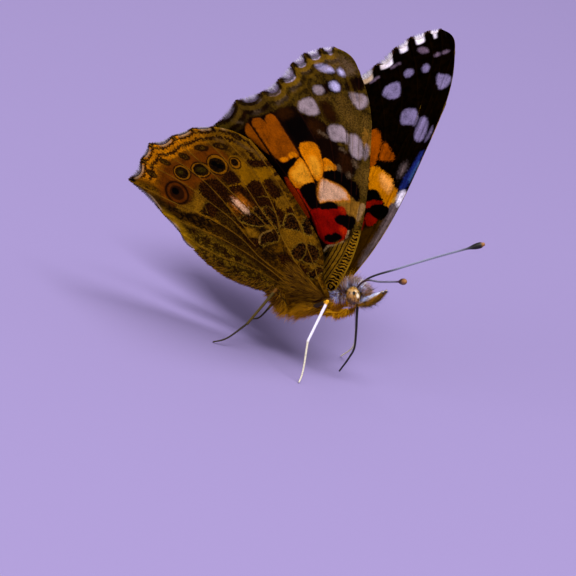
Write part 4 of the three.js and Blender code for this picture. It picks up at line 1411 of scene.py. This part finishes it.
def coatLie(name, roots):  # which way the hairs point, how long they are, and how far they stand out
    x, y, z = roots.T
    lie = np.tile((-1.0, 0.0, -0.2), (len(roots), 1))
    if name == "body_coat":
        lie[:, 2] = np.where(z > -1.2, -0.1, -0.4)
        length = np.interp(x, [-18, -9, -7, -5, 0, 1.6], [0.4, 0.6, 0.9, 1.0, 0.9, 0.6])
        lift = np.interp(x, [-18, -9, -6, 1.5], [0.2, 0.22, 0.35, 0.45])
    elif name == "chest_coat":
        lie[:, 2] = np.interp(z, [-3, -2, -1, 0], [-0.45, -0.35, -0.05, 0.35])
        lie[x > 0.4] = (-0.1, 0, -0.9)
        length = np.interp(x, [-7, -5, -1, 0.6, 1.6, 2.7], [1.8, 2.3, 1.8, 0.8, 0.8, 1.0])
        lift = np.interp(x, [-7, -5, 0, 1.6, 2.7], [0.42, 0.34, 0.2, 0.35, 0.9])
    elif name == "head_coat":
        lie = np.stack([0.6 + 0 * x, y * 0.2, 0.35 + 0 * z], axis=1)
        length = np.interp(x, [1.6, 2.4, 3.2, 3.7], [0.7, 0.5, 0.85, 1.15])
        lift = np.interp(x, [1.6, 3.0, 3.6], [0.6, 0.9, 1.8])
    else:
        lie = np.stack([0.25 + 0 * x, y * 0.15, 1.0 + 0 * z], axis=1)
        length = np.interp(x, [0.1, 1.2, 1.9, 3.0, 3.6], [1.9, 1.7, 1.2, 0.7, 0.6])
        lift = np.interp(x, [0.1, 3.6], [1.2, 1.6])
    return lie, length, lift


def sampleSkin(mesh, count, chance, weigh):  # places spread over the skin by weight, and the way out there
    mesh.calc_loop_triangles()
    corners = np.empty(len(mesh.loop_triangles) * 3, int)
    mesh.loop_triangles.foreach_get("vertices", corners)
    spots = places(mesh)[corners.reshape(-1, 3)]
    first, ahead, aside = spots[:, 0], spots[:, 1] - spots[:, 0], spots[:, 2] - spots[:, 0]
    cross = np.cross(ahead, aside)
    area = np.linalg.norm(cross, axis=1) * weigh(spots.mean(axis=1))
    chosen = chance.choice(len(area), count, p=area / area.sum())
    one, two = chance.random(count), chance.random(count)
    over = one + two > 1
    one[over], two[over] = 1 - one[over], 1 - two[over]
    roots = first[chosen] + one[:, None] * ahead[chosen] + two[:, None] * aside[chosen]
    return roots, unit(cross[chosen])


def clearOfEyes(roots):
    far = [np.linalg.norm((roots - eyePlace[name]) / eyeFit["size"], axis=1) > 1.02 for name in sides]
    return far[0] & far[1]


def makeCoat(name, skin):
    fit = coatFits[name]
    chance = np.random.default_rng(fit["seed"])
    roots, outward = sampleSkin(skin, fit["count"], chance, lambda spots: coatWeight(name, spots))
    kept = clearOfEyes(roots)
    roots, outward = roots[kept], outward[kept]
    lie, length, lift = coatLie(name, roots)
    x, y, z = roots.T
    angle = np.arctan2(y, z + 1.2 - 0.3 * np.minimum(x + 6, 0)) / math.tau + 0.5
    return comb(name, chance, roots, outward, lie, length, lift, fit, mapSpots(angle, (x + 18.5) / 23))


def bodyPaint(name, isCoat):
    paint = Paint(name, roughness=0.7, specular=0.06)
    root = paint.vector("root")
    x, y, z = paint.axes(root)
    hair = paint.number("shade") if isCoat else paint.noise(root, 5.0).rise(0.35, 0.65)
    side = y.math("ABSOLUTE")
    colour = paint.mix(hair.rise(0.4, 0.5), tint("341a02"), tint("7a4a06"))
    colour = paint.mix(hair.rise(0.82, 0.9), colour, tint("c88a10"))
    # Golden hair: on the underside it is painted lighter, as light shining up through the hair from below;
    # on the chest's front it is the hair's own gold
    goldAndBacklight = paint.mix(hair.rise(0.3, 0.5), tint("a06400"), tint("f0a80c"))
    colour = paint.mix(z.rise(-1.6, -2.9) * 0.85, colour, goldAndBacklight)
    colour = paint.mix(x.rise(-0.6, 0.8) * z.rise(-0.8, -1.8), colour, goldAndBacklight)
    rings = (x * 0.42).math("FRACT")
    belly = paint.mix(rings.rise(0.1, 0.35), tint("8a6430"), tint("3c240c"))
    belly = paint.mix(side.rise(0.3, 0.9) * z.rise(1.5, -0.5) * 0.8, belly, tint("a8844c"))
    belly = paint.mix(hair.rise(0.7, 0.8) * 0.7, belly, tint("9a6a1c"))
    colour = paint.mix(x.rise(-7.6, -9.6) * 0.9, colour, belly)
    silver = paint.mix(hair.rise(0.5, 0.6), tint("b0b8fc"), tint("fffcff"))
    silver = paint.mix(hair.rise(0.86, 0.9), silver, tint("30201a"))
    tan = paint.mix(hair.rise(0.5, 0.6), tint("8a5c30"), tint("1c120a"))
    silver = paint.mix(paint.noise(root, 2.6).rise(0.43, 0.51), tan, silver)
    collar = x.within(0.2, 1.7, 0.25) * z.rise(-1.7, -1.1) * side.rise(0.5, 0.9)
    head = x.rise(1.5, 1.8) * z.rise(-1.8, -1.4)
    colour = paint.mix(collar.larger(head) * 0.9, colour, silver)
    brown = x.rise(3.2, 3.4) * z.rise(-1.5, -1.1) * 0.8 + z.rise(-0.35, 0.0) * x.within(0.1, 2.55, 0.25)
    crown = paint.mix(hair.rise(0.55, 0.65), tint("9c6424"), tint("24140a"))
    colour = paint.mix(brown.smaller(0.9), colour, crown)
    if isCoat:
        # Painted shade: each hair darker at its root, deep in the coat, and lighter towards its tip
        colour = paint.light(colour, paint.number("tip") * 0.6 + 0.55)
    return paint.finish(Base_Color=colour)


skinMesh = makeSkin()
coatMeshes = [makeCoat(name, skinMesh) for name in coatFits]
addVectors(skinMesh, "root", places(skinMesh))
bodyNodes = ["thorax", "abdomen", "head", "foreleg_right", "foreleg_left"]
showPiece("body_skin", skinMesh, bodyNodes, [bodyPaint("skin", False)])
coatMaterial = bodyPaint("coat", True)
for mesh in coatMeshes:
    showPiece(mesh.name, mesh, (), [coatMaterial])
print("body made")


# Long hair over the root and along the inner edge of each hindwing

wingHairFit = {
    "seed": 31, "lift": 0.06, "comb": {"stray": 0.1, "width": 0.032, "bend": -0.08},
    "root": {
        "count": 3400, "centre": (-0.2, -1.0), "spread": (-100, -36), "reach": (0.2, 4.4),
        "length": (2.2, 1.7),
    },
    "inner": {"count": 2600, "reach": (0.1, 0.97), "band": 1.2, "length": (1.3, 1.0, 0.5)},
}


def rootHair(fit, chance):  # a fan over the wing's root
    bearing = np.radians(chance.uniform(*fit["spread"], fit["count"]))
    away = chance.uniform(*fit["reach"], fit["count"])
    heading = np.stack([np.cos(bearing), np.sin(bearing)], axis=1)
    flat = np.array(fit["centre"]) + heading * away[:, None]
    length = np.interp(away, fit["reach"], fit["length"])
    return flat, heading, length, -0.1 - 0.55 * np.exp(-away / 1.4)


def innerHair(fit, chance):  # a band along the wing's inner edge
    line = smoothPath(hindwingLines[-1][2], pathSteps)
    share = chance.uniform(*fit["reach"], fit["count"])
    row = (share * (pathSteps - 1)).astype(int)
    along = unit(line[row + 2] - line[row - 2])
    across = np.stack([along[:, 1], -along[:, 0]], axis=1)
    inset = chance.random(fit["count"]) ** 2 * fit["band"]
    length = np.interp(share, [0, 0.3, 1], fit["length"])
    lift = chance.uniform(-0.12, 0.02, fit["count"])
    return line[row] - across * inset[:, None], unit(across * 0.55 + along * 0.8), length, lift


def makeWingHair(name):
    fit = wingHairFit
    place, upper = wingFrame("hindwing", name)
    chance = np.random.default_rng(fit["seed"])
    bands = [rootHair(fit["root"], chance), innerHair(fit["inner"], chance)]
    flat, heading, length, lift = (np.concatenate(part) for part in zip(*bands))
    start = place(flat, lift)
    lie = unit(place(flat + heading * 0.1, lift) - start)
    outward = np.tile(-upper, (len(flat), 1))
    spots = np.clip((flat + (2, 18)) / (12, 20), 0.01, 0.99)
    title = "hindwing_hair_" + name
    mesh = comb(title, chance, start, outward, lie, length, fit["lift"], fit["comb"], spots)
    showPiece(mesh.name, mesh, (), [wingHairMaterial])


def wingHairPaint():
    paint = Paint("wing hair", roughness=0.7, specular=0.05)
    hair = paint.number("shade")
    colour = paint.mix(hair.rise(0.35, 0.45), tint("2c1600"), tint("6a4404"))
    colour = paint.mix(hair.rise(0.7, 0.8), colour, tint("966408"))
    # Painted shade: the hair darker at its roots and lighter towards its tips
    return paint.finish(Base_Color=paint.light(colour, paint.number("tip") * 0.4 + 0.7))


wingHairMaterial = wingHairPaint()
for name in sides:
    makeWingHair(name)
print("wing hair made")


# Eyes, each a globe with a rim of scales


def eyePaint():
    paint = Paint("eye", roughness=0.22, specular=0.5)
    ball = paint.vector("ball")
    x, _, z = paint.axes(ball)
    blotch = paint.noise(ball, 2.2)

    def close(spot, start, end):
        settings = {"operation": "DISTANCE"}
        return paint.make("ShaderNodeVectorMath", settings, {0: ball, 1: spot}, "Value").rise(start, end)

    colour = paint.mix(blotch.rise(0.42, 0.6), tint("a8762c"), tint("5c3a08"))
    # Painted shade towards the lower left, a painted reflection as a lighter gold band near the top, and a
    # painted highlight at the glint
    colour = paint.mix((z + x * 0.5).rise(0.0, -0.7) * 0.85, colour, tint("30200a"))
    colour = paint.mix(z.within(0.55, 0.8, 0.1) * 0.6, colour, tint("cca060"))
    colour = paint.mix(close(eyeFit["glint"], 0.42, 0.1), colour, tint("f4e4c4"))
    colour = paint.mix(close(eyeFit["darkSpot"], 0.26, 0.17), colour, tint("080400"))
    colour = paint.mix(blotch.within(0.3, 0.36, 0.02) * 0.7, colour, tint("241402"))
    facets = paint.cells(ball, 22.0)
    return paint.finish(Base_Color=colour, Normal=paint.bump(facets, 0.3, 0.00002))


def rimPaint():
    paint = Paint("eye rim", roughness=0.6, specular=0.1)
    hair = paint.number("shade")
    colour = paint.mix(hair.rise(0.3, 0.4), tint("cca860"), tint("7c5410"))
    return paint.finish(Base_Color=paint.mix(hair.rise(0.75, 0.8), colour, tint("20120a")))


def makeEyeRim(name, side):  # a ring of small pale scales where the eye meets the head
    chance = np.random.default_rng(eyeFit["seed"])
    count = eyeFit["rimScales"]
    angle = chance.uniform(0, math.tau, count)
    around = np.stack([np.cos(angle), np.zeros(count), np.sin(angle)], axis=1)
    outward = np.tile((0.0, side, 0.0), (count, 1))
    rim = np.array(eyePlace[name]) + around * eyeFit["size"] * 0.98
    roots = rim + outward * chance.uniform(-0.06, 0.1, (count, 1))
    lie = np.cross(outward, around) * side * 0.8 + around * 0.5
    length = chance.uniform(0.12, 0.2, count)
    spots = mapSpots(angle / math.tau, chance.uniform(0.4, 0.6, count))
    mesh = comb("eye_" + name + "_rim", chance, roots, outward, lie, length, 0.35, eyeFit["comb"], spots)
    showPiece(mesh.name, mesh, (), [rimMaterial])


eyeMaterial = eyePaint()
rimMaterial = rimPaint()
for name, side in sides.items():
    mesh = ballMesh(1, eyePlace[name], 48, 32, eyeFit["size"])
    mesh.name = "eye_" + name + "_globe"
    addVectors(mesh, "ball", (places(mesh) - eyePlace[name]) / eyeFit["size"] * (1, side, 1))
    showPiece(mesh.name, mesh, ["eye_" + name], [eyeMaterial])
    makeEyeRim(name, side)
print("eyes made")


# Palps, feelers and tongue

palpFit = {
    "path": [(2.7, 0.6, -1.75), (3.9, 0.66, -1.65), (5.1, 0.6, -1.02), (6.1, 0.48, -0.35)], "radius": 0.26,
    "hairs": 3400, "seed": 21, "comb": {"stray": 0.28, "width": 0.022, "bend": -0.08, "bristles": 0.12},
}
feelerFit = {
    "right": [(2.4, -0.55, -0.9), (3, -0.8, -0.1), (4.3, -1.5, 0.85), (8, -4.9, 1.42), (13.5, -9.75, 2.4)],
    "left": [(2.6, 0.5, -0.6), (3.3, 0.8, 0.6), (6.5, 3, 1.9), (10.1, 6, 3.15), (14.25, 8.9, 4.43)],
    "shaft": 0.115, "club": 0.36, "tip": 0.18, "rings": 150, "around": 14,
}
tongueFit = {
    "path": [
        (2.75, 0, -1.6), (2.6, 0, -3.4), (2.5, 0, -5.4), (2.25, 0, -7.2), (1.6, 0, -8.3), (0.38, 0, -9.9),
    ],
    "girth": (0.16, 0.1), "rings": 60, "around": 14,
}


def palpGirth(t):
    return palpFit["radius"] * (0.75 + 0.5 * float(rampUp(t, 0, 0.4)) - 0.85 * float(rampUp(t, 0.5, 1)))


def feelerGirth(t):
    swollen = feelerFit["shaft"] + (feelerFit["club"] - feelerFit["shaft"]) * float(rampUp(t, 0.86, 0.95))
    return swollen + (feelerFit["tip"] - swollen) * float(rampUp(t, 0.965, 1))


def plainPaint(name, code, roughness=0.5):  # one colour, mottled a little
    paint = Paint(name, roughness=roughness)
    mottle = paint.noise(paint.vector("root"), 3.0) * 0.6 + 0.7
    return paint.finish(Base_Color=paint.light(tint(code), mottle))


def feelerPaint(name, code):
    paint = Paint(name, roughness=0.5)
    along = paint.number("along")
    ringed = (along * 64).math("FRACT").within(0.45, 0.85, 0.1) * along.within(0.3, 0.84, 0.08)
    pale = paint.mix(paint.noise(paint.vector("root"), 2.0), tint("848aa8"), tint("d0d4f0"))
    colour = paint.mix(ringed * 0.9, tint(code), pale)
    return paint.finish(Base_Color=paint.mix(along.rise(0.965, 0.99), colour, tint("8a5a28")))


def rodPiece(name, points, girth, node, paint, rings=24, around=16):
    mesh = toMesh(name, roundForm(points, girth, rings, around))
    spots = places(mesh)
    line = smoothPath(points, pathSteps)
    nearest = np.argmin(np.linalg.norm(spots[:, None] - line[None], axis=2), axis=1)
    addVectors(mesh, "root", spots)
    addNumbers(mesh, "along", nearest / (pathSteps - 1))
    showPiece(name, mesh, [node], [paint])


def palpHairPaint():
    paint = Paint("palp hair", roughness=0.65, specular=0.08)
    hair = paint.number("shade")
    under = paint.mix(hair.rise(0.3, 0.5), tint("a86a0c"), tint("d09828"))
    under = paint.mix(hair.rise(0.72, 0.78), under, tint("1c1004"))
    over = paint.mix(hair.rise(0.4, 0.5), tint("b0b8f4"), tint("fcfaff"))
    over = paint.mix(hair.rise(0.8, 0.86), over, tint("3a2c40"))
    colour = paint.mix(paint.number("upper").rise(-0.05, 0.3), under, over)
    return paint.finish(Base_Color=paint.mix(paint.number("along").rise(0.86, 0.95), colour, tint("2c2c44")))


def makePalpHair(name, path):
    fit = palpFit
    chance = np.random.default_rng(fit["seed"])
    share = chance.uniform(0, 0.97, fit["hairs"])
    angle = chance.uniform(0, math.tau, fit["hairs"])
    spot, way, outward = aroundPath(smoothPath(path, pathSteps), share, angle)
    girth = np.array([palpGirth(value) for value in share])
    roots = spot + outward * girth[:, None] * 0.9
    below = np.sin(angle) < -0.2  # where the hair is longer and looser
    length = np.interp(share, [0, 0.5, 1], [1.05, 0.62, 0.25]) * np.where(below, 1.0, 0.7)
    lift = np.where(below, 0.8, np.interp(share, [0, 0.5, 1], [0.9, 0.6, 0.25]))
    spots = mapSpots(angle / math.tau, share)
    mesh = comb("palp_" + name + "_hair", chance, roots, outward, way, length, lift, fit["comb"], spots)
    addNumbers(mesh, "upper", np.repeat(np.sin(angle), tuftCorners))
    addNumbers(mesh, "along", np.repeat(share, tuftCorners))
    showPiece(mesh.name, mesh, (), [palpHairMaterial])


palpSkin = plainPaint("palp skin", "a58d78", 0.7)
palpHairMaterial = palpHairPaint()
# Lit and shaded copies of one feeler colour: the right one painted browner, as lit, the left one darker, as
# in shade
feelerMaterials = {
    "right": feelerPaint("right feeler", "3c241c"), "left": feelerPaint("left feeler", "141010"),
}
for name, side in sides.items():
    path = mirrored(palpFit["path"], side)
    rodPiece("palp_" + name + "_core", path, palpGirth, "palp_" + name, palpSkin)
    makePalpHair(name, path)
    rodPiece(
        "antenna_" + name + "_stem", feelerFit[name], feelerGirth, "antenna_" + name,
        feelerMaterials[name], feelerFit["rings"], feelerFit["around"],
    )
rodPiece(
    "tongue", tongueFit["path"], tapered(*tongueFit["girth"]), "proboscis",
    plainPaint("tongue", "17110c", 0.35), tongueFit["rings"], tongueFit["around"],
)
print("feelers made")


# Legs: femur, tibia and a jointed foot, with small spines. Each row is the hip, knee, ankle,
# a joint of the foot, and where the toe meets the floor.

legs = {
    "midleg_right": [
        (-4.0, -1.5, -3.2), (0.9, -4.0, -1.4), (-0.5, -6.0, -5.7), (-0.9, -6.6, -9.4), (-1.1, -7.0),
    ],
    "midleg_left": [
        (-4.0, 1.5, -3.2), (0.4, 4.0, -1.5), (-0.55, 6.0, -6.0), (-1.1, 6.5, -8.0), (-3.3, 7.6),
    ],
    "hindleg_right": [
        (-5.4, -1.4, -3.0), (-5.6, -4.0, -0.5), (-8.3, -5.8, -4.3), (-10.7, -6.5, -6.1), (-12.1, -7.0),
    ],
    "hindleg_left": [
        (-6.0, 1.3, -2.8), (-8.6, 3.5, -1.5), (-11.4, 5.0, -4.2), (-13.1, 5.8, -5.5), (-14.2, 6.4),
    ],
}
legFit = {
    "floor": -10.45, "floorAt": -1.0, "sole": 0.12, "voxel": 0.06,
    "thigh": (0.3, 0.2), "shin": (0.18, 0.15), "foot": (0.13, 0.09), "knee": 0.23, "ankle": 0.17,
}
spineFit = {
    "seed": 51, "count": 70, "length": (0.14, 0.26), "comb": {"stray": 0.1, "width": 0.016, "bend": 0.0},
}
thighFit = {"seed": 61, "hairs": 1500, "lift": 0.25, "comb": {"stray": 0.14, "width": 0.032, "bend": -0.1}}
legColours = {  # thigh, knee, shin, foot
    "mid": ("2a1c08", "d89a1c", "e2dcea", "d8cfb4"), "hind": ("3a2804", "6e4408", "4c3c10", "342a18"),
}
limbSteps = 60  # points along each span of a leg


def legPaint(kind):
    paint = Paint(kind + " leg", roughness=0.6, specular=0.15)
    thigh, knee, shin, foot = (tint(code) for code in legColours[kind])
    stage = paint.number("stage")
    colour = paint.mix(stage.rise(0.9, 0.96), thigh, knee)
    colour = paint.mix(stage.rise(1.05, 1.1), colour, shin)
    colour = paint.mix(stage.rise(1.96, 2.04), colour, foot)
    scaly = paint.noise(paint.vector("root"), 7.0)
    colour = paint.light(colour, scaly * 0.7 + 0.65)
    return paint.finish(Base_Color=colour, Normal=paint.bump(scaly, 0.4, 0.00003))


def legSpans(joints):  # thigh, shin and foot, each a path and its girth at both ends
    fit = legFit
    x, y = joints[4]
    toe = (x, y, fit["floor"] - (x - fit["floorAt"]) * math.tan(nosePitch) + fit["sole"])
    return [(joints[0:2], fit["thigh"]), (joints[1:3], fit["shin"]), ([*joints[2:4], toe], fit["foot"])]


def makeLeg(name, joints):
    spans = legSpans(joints)
    forms = [toMesh("form", roundForm(points, tapered(*girth), 16, 14)) for points, girth in spans]
    forms.append(ballMesh(legFit["knee"], joints[1], 16, 12))
    forms.append(ballMesh(legFit["ankle"], joints[2], 16, 12))
    mesh = knitted(forms, name + "_limb", legFit["voxel"])
    spots = places(mesh)
    lines = [smoothPath(points, limbSteps) for points, _ in spans]
    gaps = [np.linalg.norm(spots[:, None] - line[None], axis=2) for line in lines]
    best = np.argmin([gap.min(axis=1) for gap in gaps], axis=0)
    share = np.stack([gap.argmin(axis=1) / (limbSteps - 1) for gap in gaps])[best, np.arange(len(spots))]
    addVectors(mesh, "root", spots)
    addNumbers(mesh, "stage", best + share)
    nodes = [name + "_" + part for part in ("femur", "tibia", "tarsus")]
    showPiece(mesh.name, mesh, nodes, [legMaterials[name.split("leg")[0]]])
    makeSpines(name, np.vstack([lines[1][4:], lines[2][2:-6]]))


def makeSpines(name, bone):  # along the shin and foot
    fit, count = spineFit, spineFit["count"]
    chance = np.random.default_rng(fit["seed"])
    index = chance.integers(0, len(bone) - 1, count)
    way = unit(bone[index + 1] - bone[index])
    outward = unit(np.cross(way, chance.normal(0, 1, (count, 3))))
    roots = bone[index] + outward * 0.12
    length = chance.uniform(*fit["length"], count) * np.where(outward[:, 2] > 0.4, 0.5, 1.0)
    spots = mapSpots(index / len(bone), chance.uniform(0.1, 0.9, count))
    mesh = comb(name + "_spines", chance, roots, outward, way, length, 0.9, fit["comb"], spots)
    showPiece(mesh.name, mesh, (), [spineMaterial])


def makeThighHair(name, joints):  # the long hair of the body goes on over the thighs
    fit = thighFit
    chance = np.random.default_rng(fit["seed"])
    hind = name.startswith("hind")
    share = chance.uniform(0, 0.93 if hind else 0.62, fit["hairs"])
    turned = chance.uniform(-math.pi, math.pi, fit["hairs"])
    spot, _, outward = aroundPath(smoothPath(joints[0:2], 100), share, turned)
    roots = spot + outward * np.interp(share, [0, 1], legFit["thigh"])[:, None]
    side = 1 if joints[1][1] > 0 else -1
    lie = np.tile((-1.0, side * 0.05, -0.16 if hind else -0.2), (fit["hairs"], 1))
    length = np.interp(share, [0, 0.6, 1], [1.7, 1.6, 0.8] if hind else [2.2, 1.8, 1.1])
    spots = mapSpots(turned / math.tau + 0.5, share)
    mesh = comb(name + "_hair", chance, roots, outward, lie, length, fit["lift"], fit["comb"], spots)
    showPiece(mesh.name, mesh, (), [coatMaterial])


legMaterials = {kind: legPaint(kind) for kind in legColours}
spineMaterial = plainPaint("spines", "1c1206", 0.5)
for name, joints in legs.items():
    makeLeg(name, joints)
    makeThighHair(name, joints)
print("legs made")


# Floor, light and camera

stageFit = {
    "floorSize": 3.0, "floor": "8678a4", "sky": (0.92, 0.9, 1.0, 1), "skyPower": 0.42,
    "key": 24.0, "fill": 8.0, "lampSize": 0.8, "lampAway": 1.2,
}
viewFit = {"turn": 27.911, "height": 8.094, "distance": 450, "lens": 249.2, "aim": (-4.80, -2.61, -0.41)}

build = bmesh.new()
bmesh.ops.create_grid(build, x_segments=1, y_segments=1, size=stageFit["floorSize"] / 2)
floorMesh = toMesh("floor", build)
floorPiece = bpy.data.objects.new("floor", floorMesh)
bpy.context.scene.collection.objects.link(floorPiece)
floorPaint = Paint("floor", roughness=0.9, specular=0.1)
floorMesh.materials.append(floorPaint.finish(Base_Color=tint(stageFit["floor"])))

world = bpy.data.worlds.new("soft")
world.use_nodes = True
sky = world.node_tree.nodes["Background"].inputs
sky["Color"].default_value = stageFit["sky"]
sky["Strength"].default_value = stageFit["skyPower"]
bpy.context.scene.world = world
bpy.context.scene.view_settings.view_transform = "Standard"

turn, height = math.radians(viewFit["turn"]), math.radians(viewFit["height"])
rightWay = Vector((math.cos(turn), math.sin(turn), 0))
upWay = Vector((-math.sin(turn) * math.sin(height), math.cos(turn) * math.sin(height), math.cos(height)))
backWay = Vector((math.sin(turn) * math.cos(height), -math.cos(turn) * math.cos(height), math.sin(height)))
middle = toWorld @ Vector(viewFit["aim"])
turned = tilt.to_3x3()


def addLamp(name, way):
    lamp = bpy.data.lights.new(name, "AREA")
    lamp.energy = stageFit[name]
    lamp.size = stageFit["lampSize"]
    holder = bpy.data.objects.new(name, lamp)
    holder.location = middle + (turned @ way).normalized() * stageFit["lampAway"]
    holder.rotation_euler = (holder.location - middle).to_track_quat("Z", "Y").to_euler()
    bpy.context.scene.collection.objects.link(holder)


addLamp("key", backWay * 0.7 + upWay * 0.9 + rightWay * 0.5)
addLamp("fill", backWay * 0.8 + upWay * 0.2 - rightWay * 0.9)

lens = bpy.data.cameras.new("camera")
lens.lens = viewFit["lens"]
lens.sensor_width = 36
lens.clip_end = 10
camera = bpy.data.objects.new("camera", lens)
spot = middle + (turned @ backWay) * viewFit["distance"] * millimetre
axes = turned @ Matrix((rightWay, upWay, backWay)).transposed()
camera.matrix_world = Matrix.Translation(spot) @ axes.to_4x4()
bpy.context.scene.collection.objects.link(camera)
bpy.context.scene.camera = camera
print("stage made")
